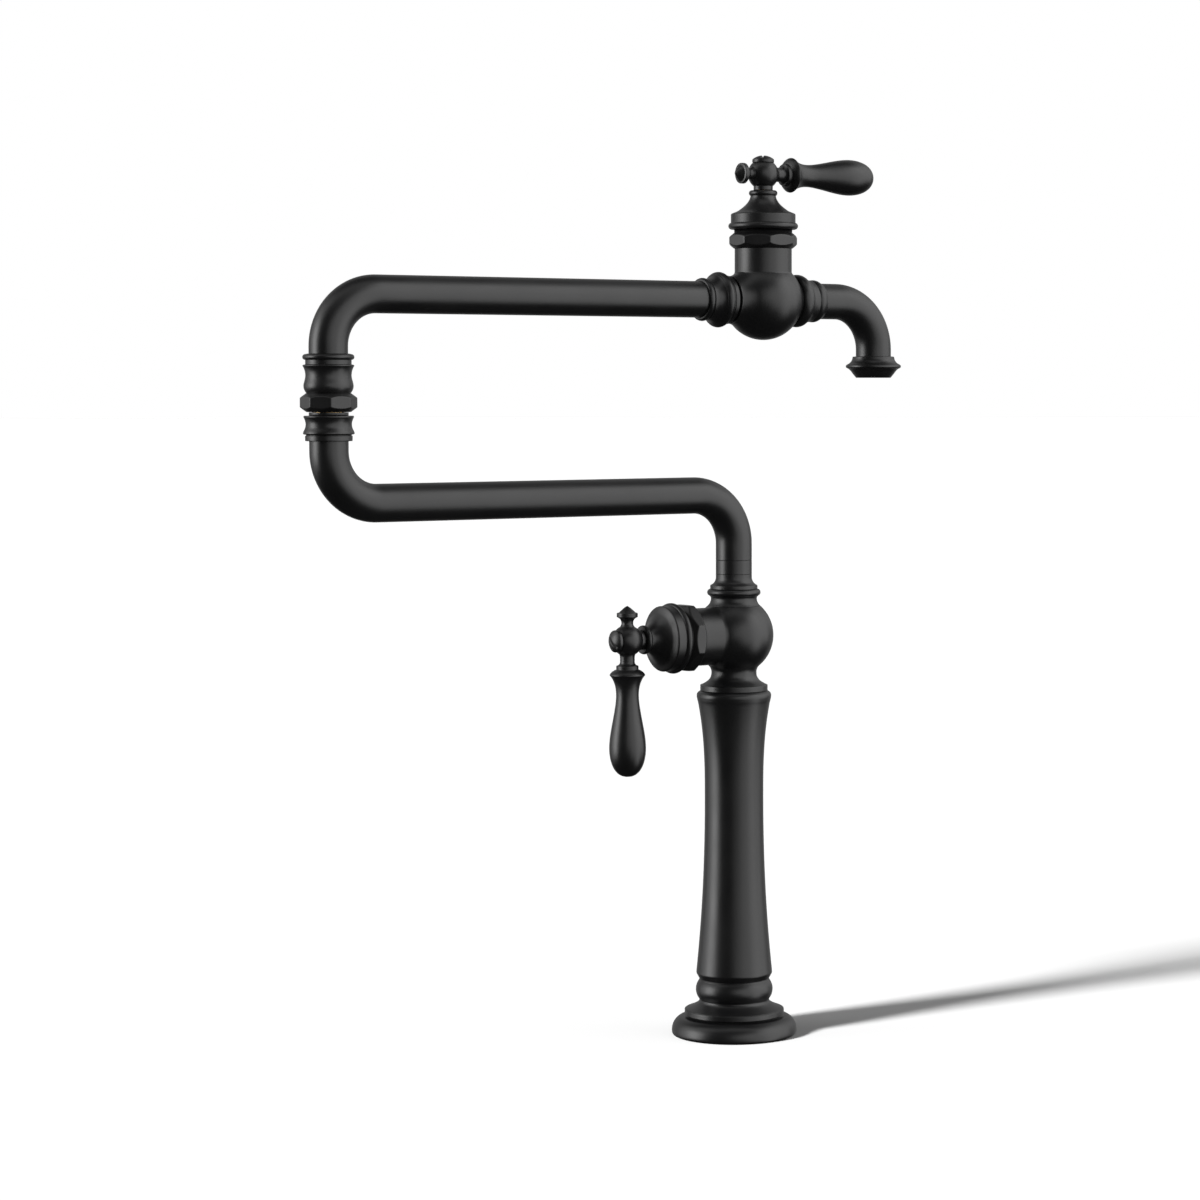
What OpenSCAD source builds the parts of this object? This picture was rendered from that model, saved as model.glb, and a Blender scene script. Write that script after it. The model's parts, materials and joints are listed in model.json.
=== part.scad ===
// Deck mount pot filler with two quarter-turn valves and a double-jointed arm.
// The origin is the centre of the base on the deck, +Z is up, and at rest both
// arms lie folded in the XZ plane: the knuckle towards -X and the spout towards +X.

/* [Base] */
// Radius of the rounded foot at its widest
foot_r = 34.9; // [33:0.1:40]
// Height of the rounded foot, up to the step disc
foot_h = 11.3; // [9:0.1:14]
// Radius of the step disc on the foot
step_r = 27.7; // [26:0.1:29]
// Thickness of the step disc
step_h = 2.8; // [2:0.1:4]
// Height of the ring between base and column
ring_h = 17.3; // [16:0.1:24]
// Radius of the ring at its two grooves
ring_groove_r = 19.5; // [19.2:0.1:20.4]
// Radius of the ring's bulge
ring_bulge_r = 21.45; // [21:0.1:24]

/* [Deck fixing] */
// Thickness of the worktop that the base clamps
deck_t = 30; // [10:1:38]
// Radius of the threaded mounting shank
shank_r = 16; // [15:0.1:16.6]
// How far the shank reaches below the deck face
shank_drop = 62; // [56:1:80]
// Radius of the washers under the deck
washer_r = 29; // [26:0.5:32]
// Thickness of the rubber washer
rubber_t = 3; // [2:0.5:5]
// Thickness of the steel washer
steel_t = 2; // [1:0.5:3]
// Distance across the flats of the lock nut
lock_nut_af = 46; // [42:1:50]
// Height of the lock nut
lock_nut_h = 8; // [6:0.5:12]
// Radius of the riser pipe
riser_r = 10; // [9.6:0.1:10.3]
// Radius of the inlet thread on the riser pipe
inlet_r = 10.48; // [10.4:0.01:10.9]
// Wall of the riser pipe
riser_wall = 2; // [1.5:0.1:2.6]
// Length of the inlet thread
inlet_l = 16; // [12:1:30]

/* [Column] */
// Height of the column sleeve
column_h = 160.9; // [120:0.1:260]
// Radius of the sleeve at its bottom edge
column_foot_r = 21.25; // [21:0.1:24]
// Radius of the sleeve at its waist
column_waist_r = 16.3; // [15.6:0.1:18]
// Radius of the sleeve below its top bead
column_top_r = 20.05; // [19.6:0.1:22]
// Wall of the sleeve
column_wall = 2.6; // [2:0.1:3.2]

/* [Valve bodies] */
// Radius of the ball of each valve body
ball_r = 22; // [21:0.1:24]
// Radius of the bonnet stub on each ball
stub_r = 15.9; // [15.4:0.1:16.4]
// Height of the lower ball's centre above the sleeve
lower_ball_rise = 30.7; // [28.5:0.1:34]
// Height of the lower body's top face above its ball centre
neck_rise = 25.7; // [25:0.1:30]
// Radius of the neck above and below the lower ball
neck_r = 12.55; // [12.2:0.1:13.2]
// Radius of the bead at the lower body's top
neck_bead_r = 14.85; // [14:0.05:16]
// Radius of the foot flange that covers the sleeve
body_flange_r = 18.75; // [18:0.1:19.4]

/* [Arms] */
// Outer diameter of the arm tubes and the spout
tube_d = 20; // [19.6:0.1:20.4]
// Wall of the tubes
tube_wall = 1.5; // [1:0.1:2]
// Radius of every tube bend, on the tube's centre line
bend_r = 27.1; // [25:0.1:30]
// Distance from the column's axis to the knuckle's axis
lower_reach = 250; // [180:1:320]
// Distance from the knuckle's axis to the upper valve's axis
valve_reach = 270; // [200:1:340]
// Distance from the upper valve's axis to the outlet's axis
spout_reach = 76.5; // [66:0.5:160]
// Height of the lower arm's centre line above the swivel seam
lower_arm_rise = 36.4; // [34:0.1:60]
// Height of the knuckle's lowest edge above the lower arm
knuckle_rise = 32.3; // [30:0.1:50]
// Height of the upper arm above the knuckle's top edge
upper_arm_rise = 30.8; // [30:0.1:50]
// Height of the upper arm above the outlet bell's top edge
spout_drop = 30.8; // [30:0.1:60]

/* [Swivel and knuckle] */
// Height of the swivel gland on the lower body
gland_h = 8.3; // [7:0.1:12]
// Height of the sleeve above the swivel seam
swivel_sleeve_h = 7.8; // [6:0.1:9]
// Radius of the swivel gland's ring
gland_r = 13.15; // [12.8:0.05:14]
// Height of the knuckle's lower collar
lower_collar_h = 12.9; // [12:0.1:18]
// Height of the bare neck below the knuckle nut
knuckle_neck_h = 1.7; // [1:0.1:3]
// Height of the knuckle nut
knuckle_nut_h = 9.7; // [9:0.1:14]
// Radius of the knuckle nut at its corners
knuckle_nut_r = 14.7; // [14.2:0.1:17]
// Height of the knuckle's upper collar
upper_collar_h = 20.1; // [18:0.1:26]
// Radius of the knuckle collars at their sharp edges
collar_edge_r = 13.15; // [12.8:0.05:14]

/* [Bonnets] */
// Radius of the bonnet nuts at their corners
bonnet_nut_r = 19.4; // [18.8:0.1:21]
// Height of the bonnet nuts
bonnet_nut_h = 8.6; // [7.5:0.1:11]
// Distance from a ball's centre to its bonnet nut
stub_l = 28.8; // [27:0.1:34]
// Radius of the bonnet's drum
drum_r = 18; // [17.6:0.1:20]
// Radius of the bead round the bonnet's drum
drum_bead_r = 19.4; // [18.8:0.1:21]
// Length of the drum, with its bead and the groove under it
drum_h = 10.5; // [9.5:0.1:14]
// Length of the bonnet's bell, up to its top bead
bell_h = 13.1; // [11:0.1:18]
// Radius of the bead on top of the bell
bell_bead_r = 7.95; // [7.4:0.05:9]

/* [Handles] */
// Radius of the ball that carries each lever
hub_r = 8.57; // [8.2:0.01:9.4]
// Distance from the bell's top to the hub's centre
hub_rise = 9.1; // [8.6:0.1:12]
// Length of a lever from its hub's centre to its tip
lever_l = 74.3; // [60:0.1:95]
// Largest radius of a lever's grip
grip_r = 10.05; // [9:0.1:12]
// Radius of the flange at the grip's root
grip_flange_r = 9.7; // [9:0.1:12]
// Distance from the hub's centre to a finial's tip
finial_l = 19; // [16:0.1:22]
// Radius of a finial's rim
finial_r = 5.72; // [5:0.01:7]
// Radius of the slotted cap screws
cap_r = 6; // [5.4:0.1:6.6]
// Radius of the valve stems
stem_r = 4; // [3.6:0.1:4.2]

/* [Ferrules and outlet] */
// Radius of the big bead on the inlet ferrule
inlet_bead_r = 15.3; // [14.8:0.1:17]
// Length of the inlet ferrule outside the body
inlet_ferrule_l = 19.8; // [18:0.1:26]
// Radius of the big bead on the outlet ferrule
outlet_bead_r = 14.7; // [14.2:0.1:16]
// Length of the outlet ferrule outside the body
outlet_ferrule_l = 18.4; // [16.5:0.1:24]
// Radius of the outlet bell at its rim
bell_rim_r = 15.75; // [15:0.05:18]
// Height of the outlet bell
outlet_h = 12.2; // [11.5:0.1:16]
// Radius of the outlet bell's bottom edge
outlet_foot_r = 9.9; // [9.8:0.1:11]

/* [Fits] */
// Radial gap of turning and sliding fits
fit_gap = 0.05; // [0.02:0.01:0.08]
// Gap between faces that turn past each other
run_gap = 0.2; // [0.1:0.05:0.4]

/* [Hidden] */
$fn = 72;

// How far a cutting shape runs past the face it cuts
overrun = 1;
// Steps in each rounded stretch of a turned outline
arc_steps = 8;
half_share = 0.5;
// Powers of the hollow flares: soft ones are nearly straight, tight ones turn sharply
soft_power = 1.35;
firm_power = 1.6;
tight_power = 2.4;

black = [0.055, 0.055, 0.058];
brass = [0.78, 0.62, 0.32];
steel = [0.72, 0.73, 0.75];
rubber = [0.09, 0.09, 0.10];
ceramic = [0.93, 0.92, 0.89];
white_plastic = [0.88, 0.88, 0.86];

tube_r = tube_d / 2;
tube_bore_r = tube_r - tube_wall;

// Heights above the deck
step_z = foot_h;
ring_z = step_z + step_h;
column_z = ring_z + ring_h;
body_z = column_z + column_h;
lower_ball_z = body_z + lower_ball_rise;
gland_z = lower_ball_z + neck_rise;
seam_z = gland_z + gland_h;
lower_tube_z = seam_z + swivel_sleeve_h;
lower_arm_z = lower_tube_z + lower_arm_rise;
collar_z = lower_arm_z + knuckle_rise;
neck_z = collar_z + lower_collar_h;
knuckle_nut_z = neck_z + knuckle_neck_h + run_gap;
upper_collar_z = knuckle_nut_z + knuckle_nut_h;
upper_collar_top_z = upper_collar_z + upper_collar_h;
upper_arm_z = upper_collar_top_z + upper_arm_rise;
outlet_top_z = upper_arm_z - spout_drop;
outlet_z = outlet_top_z - outlet_h;

// Places along X
knuckle_x = -lower_reach;
valve_x = knuckle_x + valve_reach;
spout_x = valve_x + spout_reach;

// Distances along a valve's stem axis, counted from its ball centre
seat_z = 9;
seal_t = 2;
disc_t = 3;
foot_t = 3;
cartridge_r = 13;
cartridge_wall = 2.8;
cartridge_neck_r = 8;
fixed_disc_z = seat_z + seal_t;
moving_disc_z = fixed_disc_z + disc_t;
stem_foot_z = moving_disc_z + disc_t;
stub_thread_l = 5.6;
nut_z = stub_l;
stub_top_z = nut_z + stub_thread_l;
drum_z = nut_z + bonnet_nut_h;
bell_z = drum_z + drum_h;
bell_top_z = bell_z + bell_h;
hub_z = bell_top_z + hub_rise;

// Passages in a valve body
bore_r = 7;
divider_t = 5;
port_r = 3;
port_x = 6;

// Socket sizes
socket_r = tube_r + fit_gap;
spigot_r = 8.7;
socket_l = 8;

// Turned outlines are lists of [radius, height] points.
function arc(c, r, a0, a1) =
    [for (i = [0:arc_steps]) let (a = a0 + (a1 - a0) * i / arc_steps) c + r * [cos(a), sin(a)]];

// A rounded bead that stands out of a surface at radius r0, up to radius r1, centred at height z.
function bead(r0, r1, z, half_h) =
    let (out = r1 - r0, rr = (out * out + half_h * half_h) / (2 * out), a = atan2(half_h, rr - out))
    arc([r1 - rr, z], rr, -a, a);

// A hollow curve between two points that leaves the first one flat and reaches the second one upright.
function cove(p, q) =
    [for (i = [0:arc_steps]) let (a = 90 * i / arc_steps)
        [q[0] + (p[0] - q[0]) * (1 - sin(a)), p[1] + (q[1] - p[1]) * (1 - cos(a))]];

// A hollow curve between two points that is steeper at its foot the higher its power.
function flare(p, q, power) =
    [for (i = [0:arc_steps]) let (u = i / arc_steps)
        [q[0] + (p[0] - q[0]) * pow(1 - u, power), p[1] + (q[1] - p[1]) * u]];

// A domed curve between two points that leaves the first one upright and reaches the second one flat.
function dome(p, q) =
    [for (i = [0:arc_steps]) let (a = 90 * i / arc_steps)
        [q[0] + (p[0] - q[0]) * cos(a), p[1] + (q[1] - p[1]) * sin(a)]];

// A swelling curve between two points that reaches the second one upright.
function swell(p, q) =
    [for (i = [1:arc_steps]) let (u = i / arc_steps)
        [p[0] + (q[0] - p[0]) * sin(90 * u), p[1] + (q[1] - p[1]) * u]];

// Radii given as shares of r and heights given as shares of h above z.
function from_shares(shares, r, z, h) = [for (s = shares) [s[0] * r, z + s[1] * h]];

module lathe(points) rotate_extrude() polygon(points);

module ring(r_in, r_out, z, h)
    translate([0, 0, z])
        difference() {
            cylinder(r = r_out, h = h);
            translate([0, 0, -overrun]) cylinder(r = r_in, h = h + 2 * overrun);
        }

module rod(r, z, h) translate([0, 0, z]) cylinder(r = r, h = h);

module bore(r, z, h) rod(r, z, h);

octagon_turn = 22.5;

// Eight-sided nut with its corners turned off at top and bottom. The turned outline
// stands out past the corners, so that only its two cones cut them.
module octagon_nut(r, h, top_r, bottom_r, chamfer_h)
{
    low_rise = chamfer_h * (r + overrun - bottom_r) / (r - bottom_r);
    high_drop = chamfer_h * (r + overrun - top_r) / (r - top_r);
    intersection() {
        rotate([0, 0, octagon_turn]) cylinder(r = r, h = h, $fn = 8);
        lathe([
            [0, 0],
            [bottom_r, 0],
            [r + overrun, low_rise],
            [r + overrun, h - high_drop],
            [top_r, h],
            [0, h]
        ]);
    }
}

module oring(r, thickness_r, z)
    translate([0, 0, z]) rotate_extrude() translate([r, 0]) circle(r = thickness_r);

// Frames of the two valves: local +Z runs out along the stem, local X along the water way.
module at_lower_valve() translate([0, 0, lower_ball_z]) rotate([0, -90, 0]) children();
module at_upper_valve() translate([valve_x, 0, upper_arm_z]) children();

// The lower lever hangs down at rest, so the lower handle is turned half round in its valve.
module at_lower_handle() at_lower_valve() rotate([0, 0, 180]) children();

// Base and deck fixing

shoulder_r = 18.5;
shoulder_h = 3.6;
boss_r = 14.6;
boss_h = 7;
gasket_in_r = 26;
gasket_out_r = 31;
gasket_t = 1.5;
foot_edge_h = 2.2;
foot_under_r = 1;
step_cove_h = 1.2;
step_edge = 0.4;

module deck_flange() color(black)
    difference() {
        lathe(concat(
            [[0, 0], [foot_r - foot_under_r, 0]],
            dome([foot_r, foot_edge_h], [step_r + step_edge, step_z - step_cove_h]),
            flare([step_r + step_edge, step_z - step_cove_h], [step_r - step_cove_h, step_z], soft_power),
            [[step_r, step_z], [step_r, ring_z - step_edge]],
            [[step_r - step_edge, ring_z], [0, ring_z]]
        ));
        bore(shank_r + fit_gap, -overrun, ring_z);
        bore(shoulder_r + fit_gap, ring_z - shoulder_h, shoulder_h + overrun);
        ring(gasket_in_r, gasket_out_r, -overrun, gasket_t + overrun);
    }

module flange_gasket() color(rubber) ring(gasket_in_r + fit_gap, gasket_out_r - fit_gap, 0, gasket_t);

ring_spigot_h = 4;
ring_groove_h = 1.1;
ring_flare_h = 4.6;
ring_spigot_inset = 0.5;
ring_spigot_r = column_foot_r - column_wall - ring_spigot_inset;

module base_ring() color(black)
    difference() {
        union() {
            lathe(concat(
                [[0, ring_z]],
                flare([step_r - step_edge, ring_z], [ring_groove_r, ring_z + ring_flare_h], firm_power),
                bead(ring_groove_r, ring_bulge_r, (ring_z + ring_flare_h + column_z) / 2,
                    (ring_h - ring_flare_h) / 2 - ring_groove_h),
                [[ring_groove_r, column_z], [0, column_z]]
            ));
            rod(ring_spigot_r, column_z - ring_groove_h, ring_groove_h + ring_spigot_h);
        }
        bore(boss_r + fit_gap, ring_z - overrun, boss_h + run_gap + overrun);
        bore(riser_r + run_gap, ring_z, ring_h + ring_spigot_h + overrun);
    }

module mounting_shank() color(brass)
    difference() {
        union() {
            rod(shank_r, -shank_drop, shank_drop + ring_z);
            rod(shoulder_r, ring_z - shoulder_h, shoulder_h);
            rod(boss_r, ring_z - shoulder_h, shoulder_h + boss_h);
        }
        bore(riser_r + fit_gap, -shank_drop - overrun, shank_drop + ring_z + boss_h + 2 * overrun);
    }

riser_depth = 14;
gasket_h = 1.8;
riser_top_z = body_z + riser_depth - gasket_h;

inlet_relief_h = 2;
riser_bottom_z = -shank_drop - inlet_relief_h - inlet_l;

module riser_pipe() color(brass)
    difference() {
        union() {
            rod(riser_r, riser_bottom_z, riser_top_z - riser_bottom_z);
            rod(inlet_r, riser_bottom_z, inlet_l);
        }
        bore(riser_r - riser_wall, riser_bottom_z - overrun, riser_top_z - riser_bottom_z + 2 * overrun);
    }

module riser_gasket() color(rubber) ring(riser_r - riser_wall, riser_r - fit_gap, riser_top_z, gasket_h);

module deck_rubber_washer() color(rubber)
    ring(shank_r + run_gap, washer_r, -deck_t - rubber_t, rubber_t);

module deck_steel_washer() color(steel)
    ring(shank_r + run_gap, washer_r, -deck_t - rubber_t - steel_t, steel_t);

module lock_nut() color(brass)
    translate([0, 0, -deck_t - rubber_t - steel_t - lock_nut_h])
        difference() {
            cylinder(r = lock_nut_af / sqrt(3), h = lock_nut_h, $fn = 6);
            bore(shank_r + fit_gap, -overrun, lock_nut_h + 2 * overrun);
        }

// Column

column_bead_h = 6.4;
column_bead_out = 0.7;
column_round_h = 3;
column_round_in = 2.5;
column_chamfer_h = 2.9;
column_chamfer_r = 1.65;
waist_share = 0.66;
low_power = 2.15;
high_power = 2.65;
sleeve_steps = 12;

sleeve_low_z = column_z + column_chamfer_h;
sleeve_high_z = body_z - column_bead_h;
waist_z = sleeve_low_z + waist_share * (sleeve_high_z - sleeve_low_z);

// The sleeve's outline falls away from its waist by one power curve downwards and another upwards.
function sleeve_curve(inset) = concat(
    [for (i = [sleeve_steps:-1:1]) let (u = i / sleeve_steps)
        [column_waist_r - inset + (column_foot_r - column_waist_r) * pow(u, low_power),
            waist_z - (waist_z - sleeve_low_z) * u]],
    [for (i = [0:sleeve_steps]) let (u = i / sleeve_steps)
        [column_waist_r - inset + (column_top_r - column_waist_r) * pow(u, high_power),
            waist_z + (sleeve_high_z - waist_z) * u]]
);

module column_sleeve() color(black)
    difference() {
        lathe(concat(
            [[0, column_z], [column_foot_r - column_chamfer_r, column_z]],
            sleeve_curve(0),
            swell([column_top_r, sleeve_high_z], [column_top_r + column_bead_out, body_z - column_round_h]),
            dome([column_top_r + column_bead_out, body_z - column_round_h],
                [column_top_r + column_bead_out - column_round_in, body_z]),
            [[0, body_z]]
        ));
        lathe(concat(
            [[0, column_z - overrun], [column_foot_r - column_wall, column_z - overrun]],
            sleeve_curve(column_wall),
            [[column_top_r - column_wall, body_z + overrun], [0, body_z + overrun]]
        ));
    }

// Valve parts shared by the lower and the upper valve, in the valve's own frame

module valve_cavity()
{
    bore(cartridge_r + fit_gap, seat_z, stub_top_z - seat_z + overrun);
    for (side = [-1, 1])
        translate([side * port_x, 0, 0]) cylinder(r = port_r, h = seat_z + overrun);
}

module water_way(from_x, to_x)
    translate([from_x, 0, 0]) rotate([0, 90, 0]) cylinder(r = bore_r, h = to_x - from_x);

stub_thread_wall = 1.4;
stub_thread_r = cartridge_r + stub_thread_wall;

module bonnet_stub()
{
    cylinder(r = stub_r, h = nut_z);
    cylinder(r = stub_thread_r, h = stub_top_z);
}

oring_t = 1.6;
gland_ring_z = stem_foot_z + foot_t + 2 * oring_t;
gland_ring_l = 4 * oring_t;

cartridge_hollow_h = stem_foot_z + foot_t + run_gap - seat_z;

module cartridge() color(brass)
    difference() {
        union() {
            rod(cartridge_r, seat_z, stub_top_z - seat_z);
            rod(cartridge_neck_r, seat_z, bell_z - seat_z);
        }
        bore(cartridge_r - cartridge_wall, seat_z - overrun, cartridge_hollow_h + overrun);
        bore(stem_r + fit_gap, seat_z, bell_z - seat_z + overrun);
        bore(stem_r + oring_t, gland_ring_z, gland_ring_l);
    }
disc_r = cartridge_r - cartridge_wall - run_gap;

module two_ports(z, h)
    for (side = [-1, 1]) translate([side * port_x, 0, z]) cylinder(r = port_r, h = h);

module seat_seal() color(rubber)
    difference() {
        rod(disc_r, seat_z, seal_t);
        two_ports(seat_z - overrun, seal_t + 2 * overrun);
    }

module fixed_disc() color(ceramic)
    difference() {
        rod(disc_r, fixed_disc_z, disc_t);
        two_ports(fixed_disc_z - overrun, disc_t + 2 * overrun);
    }

tongue_w = 3;
tongue_h = 1.2;
channel_h = 1.4;
seal_lap = 0.6;
channel_half_w = port_r - seal_lap;

// The moving disc joins the two ports by a channel in its underside.
module moving_disc() color(ceramic)
    difference() {
        rod(disc_r, moving_disc_z, disc_t);
        intersection() {
            translate([-channel_half_w, -port_x - port_r, moving_disc_z - overrun])
                cube([2 * channel_half_w, 2 * (port_x + port_r), channel_h + overrun]);
            rod(port_x + port_r, moving_disc_z - overrun, channel_h + overrun);
        }
        translate([-disc_r - overrun, -tongue_w / 2 - fit_gap, stem_foot_z - tongue_h])
            cube([2 * (disc_r + overrun), tongue_w + 2 * fit_gap, tongue_h + overrun]);
    }

screw_r = 2.4;
screw_l = 11;
stem_into_hub = 2.6;
stem_top_z = hub_z + stem_into_hub;

module stem() color(brass)
    difference() {
        union() {
            rod(stem_r, stem_foot_z, stem_top_z - stem_foot_z);
            rod(disc_r - run_gap, stem_foot_z, foot_t);
            intersection() {
                translate([-disc_r, -tongue_w / 2, stem_foot_z - tongue_h])
                    cube([2 * disc_r, tongue_w, tongue_h + foot_t]);
                rod(disc_r - run_gap, stem_foot_z - tongue_h, tongue_h + foot_t);
            }
        }
        bore(screw_r + fit_gap, hub_z + hub_flat - screw_l - overrun, screw_l + stem_into_hub);
    }

module stem_orings() color(rubber)
    for (i = [1, 3]) oring(stem_r + oring_t / 2, oring_t / 2 - fit_gap, gland_ring_z + i * oring_t);

nut_chamfer_h = 2.5;
nut_collar_r = 16.15;
nut_collar_h = 1.95;
nut_spigot_l = 6;
bonnet_thread_r = 14.9;

module bonnet_nut() color(black)
    difference() {
        translate([0, 0, nut_z]) union() {
            octagon_nut(bonnet_nut_r, bonnet_nut_h, nut_collar_r + fit_gap, nut_collar_r, nut_chamfer_h);
            cylinder(r = nut_collar_r, h = bonnet_nut_h + nut_collar_h);
            cylinder(r = bonnet_thread_r, h = bonnet_nut_h + nut_collar_h + nut_spigot_l);
        }
        bore(stub_thread_r + fit_gap, nut_z - overrun, stub_thread_l + overrun);
        bore(cartridge_neck_r + run_gap, nut_z, bell_z);
    }

// Radius shares of the drum and height shares of the bell, from the drum's edge to the neck.
bell_shares = [
    [0.972, 0.035], [0.87, 0.075], [0.785, 0.12], [0.70, 0.20], [0.62, 0.285],
    [0.548, 0.37], [0.492, 0.46], [0.44, 0.57], [0.405, 0.68], [0.396, 0.76]
];
drum_bead_half_h = 1.8;
bell_bead_h = 2.9;
cavity_inset = 1.2;
cavity_shares = [[0.79, 0], [0.62, 0.12], [0.46, 0.26], [0.33, 0.40], [0.26, 0.50]];

module bonnet() color(black)
    difference() {
        lathe(concat(
            [[0, drum_z + nut_collar_h], [nut_collar_r, drum_z + nut_collar_h]],
            bead(drum_r, drum_bead_r, drum_z + nut_collar_h + drum_bead_half_h, drum_bead_half_h),
            [[drum_r, bell_z]],
            from_shares(bell_shares, drum_r, bell_z, bell_h),
            bead(bell_bead_r - bell_bead_h / 4, bell_bead_r, bell_top_z - bell_bead_h / 2, bell_bead_h / 2),
            [[0, bell_top_z]]
        ));
        bore(bonnet_thread_r + fit_gap, drum_z, nut_collar_h + nut_spigot_l + run_gap);
        lathe(concat(
            [[0, drum_z + nut_spigot_l]],
            [[cavity_shares[0][0] * drum_r, drum_z + nut_spigot_l]],
            from_shares(cavity_shares, drum_r, bell_z - cavity_inset, bell_h),
            [[0, bell_z - cavity_inset + cavity_shares[4][1] * bell_h]]
        ));
        bore(stem_r + fit_gap, drum_z, bell_top_z);
    }

// Handle

hub_neck_r = 5.34;
hub_flat = 6.1;
lever_flat_share = 0.84;
finial_flat_share = 0.885;
pin_r = 2.6;
pin_clear = 0.6;
pin_from = stem_r + pin_clear;
slot_w = 1.5;
slot_depth = 1.5;
slot_turn = 45;
cap_edge = 0.5;
cap_rim_h = 2.1;
cap_h = 4.25;
cap_dome_h = cap_h - cap_rim_h;
cap_dome_r = (cap_r * cap_r + cap_dome_h * cap_dome_h) / (2 * cap_dome_h);
cap_dome_a = asin(cap_r / cap_dome_r);

module hub() color(black)
    translate([0, 0, hub_z])
        difference() {
            union() {
                intersection() {
                    sphere(r = hub_r);
                    translate([-finial_flat_share * hub_r, -hub_r, -hub_r])
                        cube([(lever_flat_share + finial_flat_share) * hub_r, 2 * hub_r, hub_r + hub_flat]);
                }
                translate([0, 0, run_gap - hub_rise]) cylinder(r = hub_neck_r, h = hub_rise - run_gap);
            }
            bore(stem_r + fit_gap, -hub_rise, hub_rise + stem_into_hub + fit_gap);
            bore(screw_r + fit_gap, 0, hub_r);
            translate([pin_from, 0, 0]) rotate([0, 90, 0]) cylinder(r = pin_r + fit_gap, h = hub_r);
            translate([-pin_from, 0, 0]) rotate([0, -90, 0]) cylinder(r = pin_r + fit_gap, h = hub_r);
        }

module cap_screw() color(black)
    translate([0, 0, hub_z + hub_flat])
        difference() {
            union() {
                lathe(concat(
                    [[0, 0], [cap_r - cap_edge, 0], [cap_r, cap_edge], [cap_r, cap_rim_h]],
                    [for (i = [0:arc_steps]) let (a = cap_dome_a * (1 - i / arc_steps))
                        [cap_dome_r * sin(a), cap_h - cap_dome_r + cap_dome_r * cos(a)]]
                ));
                rod(screw_r, -screw_l, screw_l + cap_edge);
            }
            rotate([0, 0, slot_turn])
                translate([-cap_r - overrun, -slot_w / 2, cap_h - slot_depth])
                    cube([2 * (cap_r + overrun), slot_w, slot_depth + overrun]);
        }

// Radius shares of the grip's largest radius and length shares of the lever, from hub to tip.
lever_neck_r = 4;
lever_ring_r = 6.1;
lever_neck_end = 12;
lever_ring_start = 13.6;
lever_ring_end = 15.7;
flange_at = 18.7;
lever_flare = 0.8;
grip_shares = [
    [0.902, 0.262], [0.831, 0.277], [0.772, 0.292], [0.727, 0.307], [0.687, 0.322], [0.64, 0.35],
    [0.616, 0.394], [0.636, 0.452], [0.7, 0.511], [0.778, 0.569], [0.858, 0.627],
    [0.932, 0.686], [0.986, 0.744], [1, 0.789], [0.983, 0.832], [0.95, 0.861], [0.899, 0.891],
    [0.822, 0.919], [0.706, 0.949], [0.62, 0.964], [0.501, 0.978], [0.317, 0.993]
];

module lever_solid()
    rotate([0, 90, 0]) {
        lathe(concat(
            [[0, lever_flat_share * hub_r], [lever_neck_r, lever_flat_share * hub_r]],
            [[lever_neck_r, lever_neck_end]],
            [[lever_neck_r + lever_flare, lever_ring_start], [lever_ring_r, lever_ring_start]],
            [[lever_ring_r, lever_ring_end]],
            [for (i = [0:arc_steps]) let (a = 90 * i / arc_steps)
                [lever_ring_r - lever_flare + (grip_flange_r - lever_ring_r + lever_flare) * sin(a),
                    flange_at - (flange_at - lever_ring_end) * cos(a)]],
            from_shares(grip_shares, grip_r, 0, lever_l),
            [[0, lever_l]]
        ));
        rod(pin_r, pin_from + fit_gap, lever_ring_start - pin_from);
    }

module lever() color(black) translate([0, 0, hub_z]) lever_solid();

finial_stalk_r = 3.26;
finial_tip_shares = [
    [1, 0.797], [0.8, 0.81], [0.736, 0.826], [0.637, 0.858], [0.537, 0.884],
    [0.432, 0.916], [0.32, 0.942], [0.173, 0.968]
];
finial_under_shares = [
    [0.56, 0.505], [0.596, 0.571], [0.636, 0.6], [0.708, 0.626], [0.834, 0.658], [1, 0.682]
];

module finial() color(black)
    translate([0, 0, hub_z])
        rotate([0, -90, 0]) {
            lathe(concat(
                [[0, finial_flat_share * hub_r], [finial_stalk_r, finial_flat_share * hub_r]],
                from_shares(finial_under_shares, finial_r, 0, finial_l),
                from_shares(finial_tip_shares, finial_r, 0, finial_l),
                [[0, finial_l]]
            ));
            rod(pin_r, pin_from + fit_gap, finial_flat_share * hub_r - pin_from);
        }

// Lower valve body and its swivel

body_flange_h = 3.1;
body_flange_step = 1.45;
body_flare_h = 6.3;
body_flare_power = 2.1;
neck_bead_h = 3.6;
body_spigot_h = column_bead_h;
body_spigot_r = column_top_r - column_wall - fit_gap;
thread_l = 8.6;
shoulder_t = 2.5;
swivel_washer_t = 0.8;
gland_thread_r = 10.6;
swivel_spigot_r = 8;
swivel_neck_r = tube_bore_r - fit_gap;
swivel_bore_r = 5.4;
swivel_depth = 17;

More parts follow.
